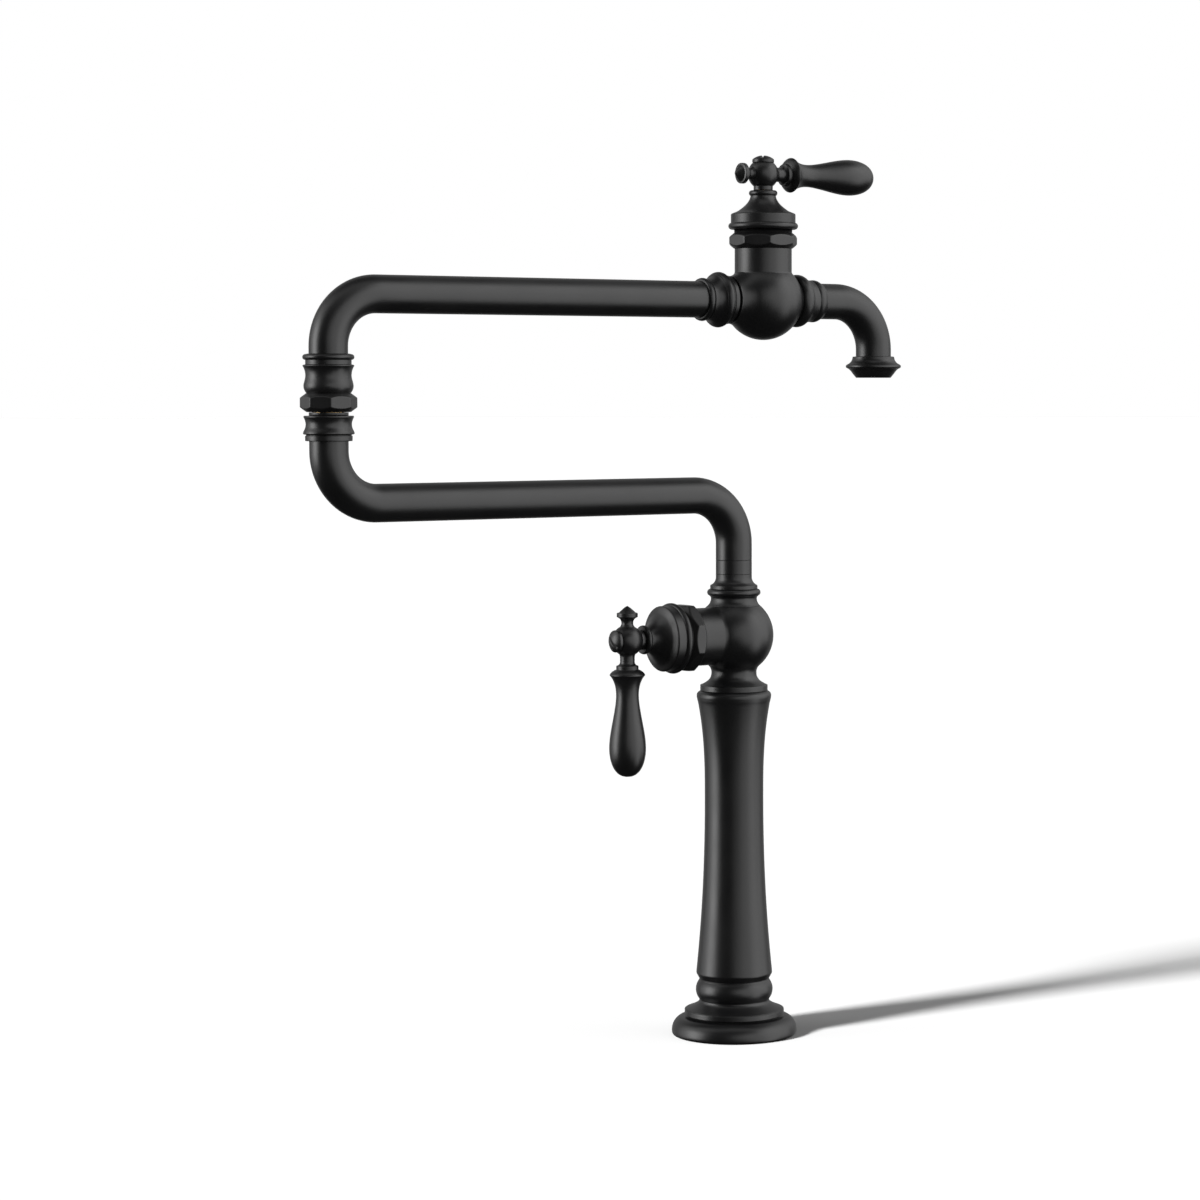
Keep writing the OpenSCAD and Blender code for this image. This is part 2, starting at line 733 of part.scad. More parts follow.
module lower_valve_body() color(black)
    difference() {
        union() {
            lathe(concat(
                [[0, body_z - body_spigot_h], [body_spigot_r, body_z - body_spigot_h]],
                [[body_spigot_r, body_z]],
                [[body_flange_r, body_z], [body_flange_r, body_z + body_flange_h]],
                flare([body_flange_r - body_flange_step, body_z + body_flange_h],
                    [neck_r, body_z + body_flange_h + body_flare_h], body_flare_power),
                bead(neck_r, neck_bead_r, gland_z - neck_bead_h / 2, neck_bead_h / 2),
                [[0, gland_z]]
            ));
            translate([0, 0, lower_ball_z]) sphere(r = ball_r);
            at_lower_valve() bonnet_stub();
        }
        at_lower_valve() valve_cavity();
        at_lower_valve() water_way(divider_t / 2, neck_rise);
        at_lower_valve() water_way(-lower_ball_rise, -divider_t / 2);
        bore(riser_r + fit_gap, body_z - body_spigot_h - overrun, riser_depth + body_spigot_h + overrun);
        bore(swivel_spigot_r + fit_gap, gland_z - swivel_depth, swivel_depth);
        bore(gland_thread_r + fit_gap, gland_z - thread_l, thread_l + overrun);
    }

gland_ring_h = 2.1;
gland_flare_h = 4.1;
gland_thread_l = thread_l - shoulder_t - swivel_washer_t;

module swivel_gland() color(black)
    difference() {
        union() {
            lathe(concat(
                [[0, gland_z], [gland_r, gland_z], [gland_r, gland_z + gland_ring_h]],
                flare([gland_r, gland_z + gland_ring_h],
                    [tube_r, gland_z + gland_ring_h + gland_flare_h], tight_power),
                [[tube_r, seam_z], [0, seam_z]]
            ));
            rod(gland_thread_r, gland_z - gland_thread_l, gland_thread_l + gland_ring_h);
        }
        bore(swivel_neck_r + fit_gap, gland_z - thread_l, thread_l + gland_h + overrun);
    }

module swivel_washer() color(white_plastic)
    ring(swivel_neck_r + fit_gap, gland_thread_r - fit_gap,
        gland_z - gland_thread_l - swivel_washer_t, swivel_washer_t);

swivel_oring_t = 1.3;
swivel_groove_shares = [1.6, 4];

// The hollow stem turns in the lower body. Its shoulder is held down by the gland.
module swivel_stem() color(brass)
    difference() {
        union() {
            rod(swivel_spigot_r, gland_z - swivel_depth + run_gap, swivel_depth - thread_l);
            rod(gland_thread_r - run_gap, gland_z - thread_l, shoulder_t);
            rod(swivel_neck_r, gland_z - thread_l, thread_l + gland_h + swivel_sleeve_h + socket_l);
        }
        bore(swivel_bore_r, gland_z - swivel_depth, swivel_depth + gland_h + swivel_sleeve_h
            + socket_l + overrun);
        for (i = [0, 1])
            ring(swivel_spigot_r - swivel_oring_t, swivel_spigot_r + overrun,
                gland_z - swivel_depth + swivel_groove_shares[i] * swivel_oring_t,
                swivel_oring_t + 2 * fit_gap);
    }

module swivel_orings() color(rubber)
    for (i = [0, 1])
        oring(swivel_spigot_r - swivel_oring_t / 2 + fit_gap / 2, swivel_oring_t / 2 - fit_gap,
            gland_z - swivel_depth + (swivel_groove_shares[i] + half_share) * swivel_oring_t + fit_gap);

module swivel_sleeve() color(black)
    ring(tube_bore_r, tube_r, seam_z + run_gap, swivel_sleeve_h - run_gap);

// Tubes

// A quarter of a torus in the XZ plane that joins an upright and a level tube.
module quarter_bend(r) rotate([90, 0, 0]) rotate_extrude(angle = 90) translate([bend_r, 0]) circle(r = r);

// Each tube is joined round its first bend's level end and then put in place as one. So its
// stretches meet exactly at any size.

module hanging_tube(r, h) mirror([0, 0, 1]) cylinder(r = r, h = h);

// A tube that comes up at x = 0, bends towards -X, runs level and turns up at the knuckle.
module lower_arm_path(r, extra) translate([-bend_r, 0, lower_arm_z])
{
    level_l = -knuckle_x - 2 * bend_r;
    translate([bend_r, 0, -bend_r]) hanging_tube(r, lower_arm_rise - bend_r + extra);
    translate([0, 0, -bend_r]) quarter_bend(r);
    rotate([0, -90, 0]) cylinder(r = r, h = level_l);
    translate([-level_l, 0, bend_r]) rotate([0, 180, 0]) quarter_bend(r);
    translate([-level_l - bend_r, 0, bend_r]) cylinder(r = r, h = knuckle_rise - bend_r + socket_l + extra);
}

module lower_arm_tube() color(black)
    difference() {
        lower_arm_path(tube_r, 0);
        lower_arm_path(tube_bore_r, overrun);
    }

module upper_arm_path(r, extra) translate([knuckle_x + bend_r, 0, upper_arm_z])
{
    level_l = valve_x - inlet_face_x - inlet_ferrule_l + socket_l - knuckle_x - bend_r;
    translate([-bend_r, 0, -bend_r]) hanging_tube(r, upper_arm_rise - bend_r + socket_l + extra);
    translate([0, 0, -bend_r]) mirror([1, 0, 0]) quarter_bend(r);
    rotate([0, 90, 0]) cylinder(r = r, h = level_l + extra);
}

module upper_arm_tube() color(black)
    difference() {
        upper_arm_path(tube_r, 0);
        upper_arm_path(tube_bore_r, overrun);
    }

spout_socket_l = 5;

module spout_path(r, extra) translate([spout_x - bend_r, 0, upper_arm_z])
{
    level_l = spout_x - bend_r - valve_x - outlet_face_x - outlet_ferrule_l + socket_l;
    rotate([0, -90, 0]) cylinder(r = r, h = level_l + extra);
    translate([0, 0, -bend_r]) quarter_bend(r);
    translate([bend_r, 0, -bend_r]) hanging_tube(r, spout_drop - bend_r + spout_socket_l + extra);
}

module spout_tube() color(black)
    difference() {
        spout_path(tube_r, 0);
        spout_path(tube_bore_r, overrun);
    }

// Knuckle

knuckle_band_h = 2.6;
knuckle_band_r = 12.05;
knuckle_waist_r = 11.7;
knuckle_neck_r = 10.1;
knuckle_bead_r = 13.2;
knuckle_bulge_r = 12.7;
knuckle_bulge_share = 0.17;
knuckle_waist_share = 0.44;
knuckle_edge_share = 0.7;
collar_step_share = 0.03;
knuckle_band_share = 0.85;
spindle_r = 8;
spindle_bore_r = 6;
spindle_shoulder_r = 9.6;
spindle_shoulder_h = 1.8;
knuckle_washer_t = 0.8;
knuckle_web_h = 2.2;
knuckle_thread_r = 10.6;
knuckle_nut_top_r = 11.3;
knuckle_thread_l = knuckle_nut_h - knuckle_web_h - knuckle_washer_t - spindle_shoulder_h - run_gap;
spindle_up = 11;
spindle_down = 4;

collar_lip_h = 0.7;

// A hollow waist between two edges of the same radius.
function waist(r_edge, r_mid, z0, z1) =
    [for (i = [0:2 * arc_steps]) let (u = i / arc_steps - 1)
        [r_mid + (r_edge - r_mid) * u * u, z0 + (z1 - z0) * (u + 1) / 2]];

module knuckle_lower_collar() color(black)
    translate([knuckle_x, 0, 0])
        difference() {
            lathe(concat(
                [[0, collar_z], [knuckle_band_r, collar_z], [knuckle_band_r, collar_z + knuckle_band_h]],
                [[knuckle_waist_r, collar_z + knuckle_band_h]],
                waist(collar_edge_r, knuckle_waist_r, collar_z + knuckle_band_h + collar_lip_h,
                    neck_z - collar_lip_h),
                [[knuckle_neck_r, neck_z], [knuckle_neck_r, neck_z + knuckle_neck_h]],
                [[0, neck_z + knuckle_neck_h]]
            ));
            bore(socket_r, collar_z - overrun, socket_l + overrun);
            bore(spindle_r + fit_gap, collar_z, lower_collar_h + knuckle_neck_h + overrun);
        }

shoulder_z = knuckle_nut_z + knuckle_web_h + knuckle_washer_t;
spindle_oring_t = 1.3;
spindle_groove_shares = [4, 6];

module knuckle_spindle() color(brass)
    translate([knuckle_x, 0, 0])
        difference() {
            union() {
                rod(spindle_r, collar_z + socket_l - spindle_down,
                    shoulder_z - collar_z - socket_l + spindle_down + spindle_up);
                rod(spindle_shoulder_r, shoulder_z, spindle_shoulder_h);
            }
            bore(spindle_bore_r, collar_z, upper_collar_top_z - collar_z);
            for (i = [0, 1])
                ring(spindle_r - spindle_oring_t, spindle_r + overrun,
                    shoulder_z + spindle_groove_shares[i] * spindle_oring_t, spindle_oring_t + 2 * fit_gap);
        }

module knuckle_orings() color(rubber)
    translate([knuckle_x, 0, 0])
        for (i = [0, 1])
            oring(spindle_r - spindle_oring_t / 2 + fit_gap / 2, spindle_oring_t / 2 - fit_gap,
                shoulder_z + (spindle_groove_shares[i] + half_share) * spindle_oring_t + fit_gap);

module knuckle_washer() color(white_plastic)
    translate([knuckle_x, 0, 0])
        ring(spindle_r + fit_gap, spindle_shoulder_r, knuckle_nut_z + knuckle_web_h, knuckle_washer_t);

module knuckle_nut() color(black)
    translate([knuckle_x, 0, 0])
        difference() {
            translate([0, 0, knuckle_nut_z])
                octagon_nut(knuckle_nut_r, knuckle_nut_h, knuckle_nut_top_r, knuckle_nut_top_r,
                    nut_chamfer_h);
            bore(spindle_r + fit_gap, knuckle_nut_z - overrun, knuckle_nut_h);
            bore(knuckle_thread_r + fit_gap, knuckle_nut_z + knuckle_web_h, knuckle_nut_h);
        }

module knuckle_upper_collar() color(black)
    translate([knuckle_x, 0, 0])
        difference() {
            union() {
                lathe(concat(
                    [[0, upper_collar_z], [knuckle_nut_top_r, upper_collar_z]],
                    [for (i = [0:arc_steps]) let (u = i / arc_steps)
                        [knuckle_nut_top_r + (knuckle_bulge_r - knuckle_nut_top_r) * sin(90 * u),
                            upper_collar_z + knuckle_bulge_share * upper_collar_h * u]],
                    [for (i = [1:arc_steps]) let (u = i / arc_steps)
                        [knuckle_waist_r + (knuckle_bulge_r - knuckle_waist_r) * (1 + cos(180 * u)) / 2,
                            upper_collar_z + upper_collar_h
                            * (knuckle_bulge_share + (knuckle_waist_share - knuckle_bulge_share) * u)]],
                    [for (i = [1:arc_steps]) let (u = i / arc_steps)
                        [knuckle_waist_r + (collar_edge_r - knuckle_waist_r) * u * u,
                            upper_collar_z + upper_collar_h
                            * (knuckle_waist_share + (knuckle_edge_share - knuckle_waist_share) * u)]],
                    [[knuckle_waist_r,
                        upper_collar_z + upper_collar_h * (knuckle_edge_share + collar_step_share)]],
                    [[knuckle_waist_r, upper_collar_z + upper_collar_h * knuckle_band_share]],
                    bead(knuckle_waist_r, knuckle_bead_r,
                        upper_collar_top_z - upper_collar_h * (1 - knuckle_band_share) / 2,
                        upper_collar_h * (1 - knuckle_band_share) / 2),
                    [[0, upper_collar_top_z]]
                ));
                rod(knuckle_thread_r, upper_collar_z - knuckle_thread_l, knuckle_thread_l + collar_lip_h);
            }
            bore(spindle_r + fit_gap, upper_collar_z - knuckle_thread_l - overrun, upper_collar_h);
            bore(socket_r, upper_collar_top_z - socket_l, socket_l + overrun);
        }

// Upper valve body and its ferrules

port_neck_r = 12.4;
inlet_face_x = 22.9;
outlet_face_x = 19.1;
ferrule_spigot_l = 5.5;

module upper_valve_body() color(black)
    at_upper_valve()
        difference() {
            union() {
                rotate([0, 90, 0]) sphere(r = ball_r);
                bonnet_stub();
                port_neck(inlet_face_x, -1);
                port_neck(outlet_face_x, 1);
            }
            valve_cavity();
            water_way(-inlet_face_x, -divider_t / 2);
            water_way(divider_t / 2, outlet_face_x);
            rotate([0, 90, 0]) rod(ball_r, outlet_face_x, ball_r);
            port_socket(-inlet_face_x, 1);
            port_socket(outlet_face_x, -1);
        }

// A port's neck starts inside the ball, just outside the bonnet stub.
module port_neck(face_x, side)
    rotate([0, side * 90, 0]) rod(port_neck_r, stub_r + overrun, face_x - stub_r - overrun);

module port_socket(face_x, side)
    translate([face_x - side * overrun, 0, 0]) rotate([0, side * 90, 0])
        cylinder(r = spigot_r + fit_gap, h = ferrule_spigot_l + run_gap + overrun);

// Outlines of the ferrules, from the body's face outwards, as shares of their length.
inlet_ring_r = 13.4;
inlet_cove_r = 14;
outlet_cove_r = 13.2;
small_bead_r = 11.85;
ferrule_edge = 0.5;
valley_r = 11.4;
inlet_marks_shares = [0.21, 0.235, 0.5, 0.8, 0.82];
outlet_marks_shares = [0.40, 0.66, 0.7];

module ferrule_bore(l)
{
    bore(bore_r, -ferrule_spigot_l - overrun, ferrule_spigot_l + l + overrun);
    bore(socket_r, l - socket_l, socket_l + overrun);
}

module inlet_ferrule() color(black)
    at_upper_valve() translate([-inlet_face_x, 0, 0]) rotate([0, -90, 0])
        difference() {
            union() {
                lathe(concat(
                    [[0, 0], [inlet_ring_r - ferrule_edge, 0], [inlet_ring_r, ferrule_edge]],
                    [[inlet_ring_r, inlet_marks_shares[0] * inlet_ferrule_l]],
                    bead(inlet_cove_r, inlet_bead_r,
                        (inlet_marks_shares[1] + inlet_marks_shares[2]) / 2 * inlet_ferrule_l,
                        (inlet_marks_shares[2] - inlet_marks_shares[1]) / 2 * inlet_ferrule_l),
                    flare([inlet_cove_r, inlet_marks_shares[2] * inlet_ferrule_l],
                        [valley_r, inlet_marks_shares[3] * inlet_ferrule_l], tight_power),
                    bead(valley_r - ferrule_edge, small_bead_r,
                        (inlet_marks_shares[4] + 1) / 2 * inlet_ferrule_l,
                        (1 - inlet_marks_shares[4]) / 2 * inlet_ferrule_l),
                    [[0, inlet_ferrule_l]]
                ));
                rod(spigot_r, -ferrule_spigot_l, ferrule_spigot_l);
            }
            ferrule_bore(inlet_ferrule_l);
        }

module outlet_ferrule() color(black)
    at_upper_valve() translate([outlet_face_x, 0, 0]) rotate([0, 90, 0])
        difference() {
            union() {
                lathe(concat(
                    [[0, 0], [outlet_cove_r, 0]],
                    bead(outlet_cove_r, outlet_bead_r, outlet_marks_shares[0] / 2 * outlet_ferrule_l,
                        outlet_marks_shares[0] / 2 * outlet_ferrule_l),
                    flare([outlet_cove_r, outlet_marks_shares[0] * outlet_ferrule_l],
                        [valley_r, outlet_marks_shares[1] * outlet_ferrule_l], tight_power),
                    bead(valley_r - ferrule_edge, small_bead_r,
                        (outlet_marks_shares[2] + 1) / 2 * outlet_ferrule_l,
                        (1 - outlet_marks_shares[2]) / 2 * outlet_ferrule_l),
                    [[0, outlet_ferrule_l]]
                ));
                rod(spigot_r, -ferrule_spigot_l, ferrule_spigot_l);
            }
            ferrule_bore(outlet_ferrule_l);
        }

// Outlet

lip_r = 12.1;
lip_h = 1.6;
rim_half_h = 0.55;
rim_share = 0.495;
under_share = 0.55;
aerator_r = 8.8;
aerator_wall = 1.2;
aerator_h = 4.6;
aerator_washer_t = 1.2;
screen_t = 0.8;
screen_hole_r = 0.45;
screen_rings = 3;

// The underside of the bell runs straight out and turns outwards near the rim.
function cove_up(p, q) =
    [for (i = [1:arc_steps]) let (u = i / arc_steps)
        [p[0] + (q[0] - p[0]) * (under_share * u + (1 - under_share) * pow(u, 4)), p[1] + (q[1] - p[1]) * u]];

module outlet_bell() color(black)
    translate([spout_x, 0, outlet_z])
        difference() {
            lathe(concat(
                [[0, 0], [outlet_foot_r, 0]],
                cove_up([outlet_foot_r, 0], [bell_rim_r, rim_share * outlet_h]),
                [[bell_rim_r, rim_share * outlet_h + 2 * rim_half_h]],
                cove([bell_rim_r, rim_share * outlet_h + 2 * rim_half_h], [lip_r, outlet_h - lip_h]),
                [[lip_r, outlet_h], [0, outlet_h]]
            ));
            bore(tube_r + fit_gap, outlet_h - spout_socket_l, spout_socket_l + overrun);
            bore(tube_bore_r - fit_gap, 0, outlet_h);
            bore(aerator_r + fit_gap, -overrun, overrun + aerator_h + aerator_washer_t);
        }

module aerator_washer() color(rubber)
    translate([spout_x, 0, outlet_z])
        ring(aerator_r - aerator_wall, aerator_r, aerator_h, aerator_washer_t);

module aerator_housing() color(white_plastic)
    translate([spout_x, 0, outlet_z])
        difference() {
            ring(aerator_r - aerator_wall, aerator_r, run_gap, aerator_h - run_gap);
            bore(aerator_r - aerator_wall / 2, 2 * screen_t, screen_t + fit_gap);
        }

module aerator_screen() color(steel)
    translate([spout_x, 0, outlet_z + 2 * screen_t])
        difference() {
            cylinder(r = aerator_r - aerator_wall / 2 - fit_gap, h = screen_t);
            bore(screen_hole_r, -overrun, screen_t + 2 * overrun);
            for (k = [1:screen_rings], j = [0:6 * k - 1])
                rotate([0, 0, 360 * j / (6 * k)])
                    translate([k * (aerator_r - aerator_wall) / (screen_rings + 1), 0, -overrun])
                        cylinder(r = screen_hole_r, h = screen_t + 2 * overrun, $fn = 24);
        }

deck_flange();
flange_gasket();
base_ring();
column_sleeve();
mounting_shank();
riser_pipe();
riser_gasket();
deck_rubber_washer();
deck_steel_washer();
lock_nut();
lower_valve_body();
swivel_gland();
swivel_washer();
at_lower_valve() cartridge();  // lower_cartridge
at_lower_valve() seat_seal();  // lower_seat_seal
at_lower_valve() fixed_disc();  // lower_fixed_disc
at_lower_valve() bonnet_nut();  // lower_bonnet_nut
at_lower_valve() bonnet();  // lower_bonnet
swivel_stem();
swivel_orings();
swivel_sleeve();
lower_arm_tube();
knuckle_lower_collar();
knuckle_spindle();
knuckle_orings();
knuckle_washer();
knuckle_nut();
knuckle_upper_collar();
upper_arm_tube();
inlet_ferrule();
upper_valve_body();
at_upper_valve() cartridge();  // upper_cartridge
at_upper_valve() seat_seal();  // upper_seat_seal
at_upper_valve() fixed_disc();  // upper_fixed_disc
at_upper_valve() bonnet_nut();  // upper_bonnet_nut
at_upper_valve() bonnet();  // upper_bonnet
outlet_ferrule();
spout_tube();
outlet_bell();
aerator_washer();
aerator_housing();
aerator_screen();
at_lower_handle() moving_disc();  // lower_moving_disc
at_lower_handle() stem();  // lower_stem
at_lower_handle() stem_orings();  // lower_stem_orings
at_lower_handle() hub();  // lower_hub
at_lower_handle() cap_screw();  // lower_cap_screw
at_lower_handle() finial();  // lower_finial
at_lower_handle() lever();  // lower_lever
at_upper_valve() moving_disc();  // upper_moving_disc
at_upper_valve() stem();  // upper_stem
at_upper_valve() stem_orings();  // upper_stem_orings
at_upper_valve() hub();  // upper_hub
at_upper_valve() cap_screw();  // upper_cap_screw
at_upper_valve() finial();  // upper_finial
at_upper_valve() lever();  // upper_lever
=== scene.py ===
"""Looks of a deck mount pot filler: satin black turned parts, fine edges, threads and a studio.

Every visible piece is a surface of two parameters: the distance along an outline, and the angle
round the axis or path that carries it. Outlines are in millimetres, in the frame of the CAD model.
"""

import json

import bpy
import numpy as np
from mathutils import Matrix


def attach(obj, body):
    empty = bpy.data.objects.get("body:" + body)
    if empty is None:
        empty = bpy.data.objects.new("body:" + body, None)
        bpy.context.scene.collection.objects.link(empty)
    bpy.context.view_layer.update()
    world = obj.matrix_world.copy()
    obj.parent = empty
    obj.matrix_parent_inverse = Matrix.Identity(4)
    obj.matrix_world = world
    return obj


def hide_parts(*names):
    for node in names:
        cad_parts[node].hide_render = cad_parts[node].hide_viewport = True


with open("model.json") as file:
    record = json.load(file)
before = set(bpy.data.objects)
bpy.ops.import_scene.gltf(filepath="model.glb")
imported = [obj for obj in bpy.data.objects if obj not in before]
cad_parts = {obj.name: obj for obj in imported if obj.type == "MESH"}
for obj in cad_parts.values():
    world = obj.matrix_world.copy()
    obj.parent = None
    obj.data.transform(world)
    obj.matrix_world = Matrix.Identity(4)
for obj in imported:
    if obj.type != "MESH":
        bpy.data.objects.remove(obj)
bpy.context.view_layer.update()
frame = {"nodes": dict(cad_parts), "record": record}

MM = 0.001
TURN = 2 * np.pi

# Heights over the deck, and places along X, as in the part's source
FOOT_TOP = 11.3
RING_BOTTOM = 14.1
COLUMN_BOTTOM = 31.4
COLUMN_TOP = 192.3
LOWER_BALL = 223.0
GLAND_BOTTOM = 248.7
SEAM = 257.0
LOWER_TUBE = 264.8
LOWER_ARM = 301.2
COLLAR_BOTTOM = 333.5
NECK_BOTTOM = 346.4
KNUCKLE_NUT = 348.3
UPPER_COLLAR = 358.0
UPPER_COLLAR_TOP = 378.1
UPPER_ARM = 408.9
OUTLET_TOP = 378.1
OUTLET_BOTTOM = 365.9
KNUCKLE_X = -250.0
VALVE_X = 20.0
SPOUT_X = 96.5
INLET_FACE = 22.9
OUTLET_FACE = 19.1

# Radii that several pieces share
TUBE = 10.0
TUBE_BORE = 8.5
BEND = 27.1
BALL = 22.0
STUB = 15.9
NECK = 12.55
HUB = 8.57
SOCKET = 10.05  # bore over a tube end or over the riser
SPINDLE_BORE = 8.05  # bore round the swivel stem and the knuckle spindle
CARTRIDGE_BORE = 13.05
COUNTERBORE = 14.4  # in the stub's mouth, for the nut's lower spigot

# Distances along a valve's stem axis from its ball centre
NUT = 28.8
SPIGOT_FOOT = 34.4
DRUM = 37.4
BELL_TOP = 61.0
HUB_CENTRE = 70.1

# Lengths of the ferrules, and how far a tube end goes into its socket
INLET_FERRULE = 19.8
OUTLET_FERRULE = 18.4
TUBE_DEPTH = 8.0
SPOUT_DEPTH = 5.0
SEAM_GAP = 0.06

# Steps round a piece's axis
SMALL_STEPS = 72
STEPS = 96
FERRULE_STEPS = 112
BELL_STEPS = 128
BODY_STEPS = 144
NUT_STEPS = 192

# How eased() rounds a corner
MOST_EASE = 0.4  # share of a side that a rounding may take
GUARD = 0.12  # length of side kept flat next to a rounding
MOST_GUARD = 0.48  # share of a side that rounding and guard may take together
SHARP = 0.15  # sine of the turn over which an outer corner wears


# Outlines

def corners(*points):
    """Several corners, each (radius, height) or (radius, height, ease), where ease is the length
    over which the corner is rounded."""
    return np.array([tuple(p) + (0.0,) * (3 - len(p)) for p in points])


def plain(r, z):
    """Outline points at the radii r and heights z, with no rounding."""
    return np.column_stack([r, z, np.zeros(len(z))])


def smooth(points, count):
    """A smooth curve through the points: cubic pieces by chord length, whose slope at each
    point is the mean slope of its neighbours."""
    p = np.array(points, float)
    chord = np.hypot(*np.diff(p, axis=0).T)
    t = np.concatenate([[0.0], np.cumsum(chord)])
    slope = np.gradient(p, t, axis=0)
    at = np.linspace(0.0, t[-1], count)
    i = np.clip(np.searchsorted(t, at, side="right") - 1, 0, len(p) - 2)
    h = (t[i + 1] - t[i])[:, None]
    u = ((at - t[i]) / h[:, 0])[:, None]
    curve = ((2 * u**3 - 3 * u**2 + 1) * p[i] + (u**3 - 2 * u**2 + u) * h * slope[i]
             + (3 * u**2 - 2 * u**3) * p[i + 1] + (u**3 - u**2) * h * slope[i + 1])
    return plain(*curve.T)


def arc(r, z, radius, start, end, count):
    """An arc of a circle about (r, z), between two angles in degrees from straight outwards."""
    a = np.radians(np.linspace(start, end, count))
    return plain(r + radius * np.cos(a), z + radius * np.sin(a))


def bead(r0, r1, z, half, count):
    """A rounded bead from radius r0 out to r1 and back, centred at height z: one circular arc."""
    out = r1 - r0
    radius = (out**2 + half**2) / (2 * out)
    a = np.degrees(np.arctan2(half, radius - out))
    return arc(r1 - radius, z, radius, -a, a, count)


def flare(r0, z0, r1, z1, power, count):
    """A hollow flare from (r0, z0) to (r1, z1): the radius falls as a power of the way left."""
    u = np.linspace(0.0, 1.0, count)
    return plain(r1 + (r0 - r1) * (1 - u)**power, z0 + (z1 - z0) * u)


def ball_fillet(neck, radius, up, z, count=12, short=0.0):
    """The hollow arc between a neck and the ball at height z: a circle that touches both, so its
    centre is one radius out from the neck and a radius plus the ball's from the ball's centre.
    up is 1 over the ball and -1 under it. It stops some degrees short of the neck."""
    out = neck + radius
    rise = np.sqrt((BALL + radius)**2 - out**2)
    touch = np.degrees(np.arctan2(-rise, -out)) % 360
    a = np.radians(np.linspace(touch, 180 + short, count))
    p = plain(out + radius * np.cos(a), z + up * (rise + radius * np.sin(a)))
    return p if up > 0 else p[::-1]


def quarter(r0, z0, r1, z1, count):
    """A quarter of an ellipse that leaves (r0, z0) upright and reaches (r1, z1) level."""
    a = np.radians(np.linspace(0, 90, count))
    return plain(r1 + (r0 - r1) * np.cos(a), z0 + (z1 - z0) * np.sin(a))


def line(r0, z0, r1, z1, count):
    """Evenly spaced points on a straight stretch."""
    u = np.linspace(0.0, 1.0, count)
    return plain(r0 + (r1 - r0) * u, z0 + (z1 - z0) * u)


def outline(*parts):
    """Joins stretches of an outline into one list of corners, without doubled points."""
    doubled = 1e-4
    p = np.vstack(parts)
    far = np.hypot(*np.diff(p[:, :2], axis=0).T) > doubled
    return p[np.concatenate([[True], far])]


def eased(p, closed):
    """Rounds every corner that has an ease: a parabola leaves one side and reaches the other at
    that distance from the corner, with one more point on each side that keeps the side flat.
    Returns the points and their wear, which rises to 1 in the middle of an outer corner."""
    steps = 4
    points, rounded, sides = p[:, :2], p[:, 2] > 0, []
    for neighbour in (1, -1):
        way = np.roll(points, neighbour, axis=0) - points
        length = np.maximum(np.hypot(*way.T), 1e-9)
        way = way / length[:, None]
        ease = np.minimum(p[:, 2], MOST_EASE * length)
        guard = np.minimum(ease + GUARD, MOST_GUARD * length)
        sides.append((way, points + way * ease[:, None], points + way * guard[:, None]))
    (u, first, guard_before), (v, last, guard_after) = sides
    s = np.linspace(0.0, 1.0, steps + 1)[None, :, None]
    curve = (1 - s)**2 * first[:, None] + 2 * s * (1 - s) * points[:, None] + s**2 * last[:, None]
    rows = np.concatenate([guard_before[:, None], curve, guard_after[:, None]], axis=1)
    outer = (u[:, 0] * v[:, 1] - u[:, 1] * v[:, 0] > SHARP) & rounded
    hump = np.sin(np.pi * (np.arange(steps + 1) + 0.5) / (steps + 1))
    wear = outer[:, None] * np.concatenate([[0.0], hump, [0.0]])[None, :]
    middle = steps // 2 + 1
    keep = np.repeat(rounded[:, None], steps + 3, axis=1)
    if not closed:
        keep[[0, -1]] = False
        rows[[0, -1], middle] = points[[0, -1]]
    keep[:, middle] = True
    rows[~rounded, middle] = points[~rounded]
    return rows[keep], wear[keep]


# Surfaces

# Directions of a piece's own x, y and z in the object's frame, one in each row
UPRIGHT = np.eye(3)
ALONG_LEFT = np.array([[0, 0, 1], [0, 1, 0], [-1, 0, 0]], float)
ALONG_RIGHT = np.array([[0, 0, -1], [0, 1, 0], [1, 0, 0]], float)
TURNED_HANDLE = np.array([[0, 0, -1], [0, -1, 0], [-1, 0, 0]], float)


def around(steps):
    """Even angles round an axis."""
    return TURN * np.arange(steps) / steps


def placed(p, turn, at):
    """Points in a piece's own frame, turned and then moved into the object's frame."""
    return p @ turn + np.array(at, float)


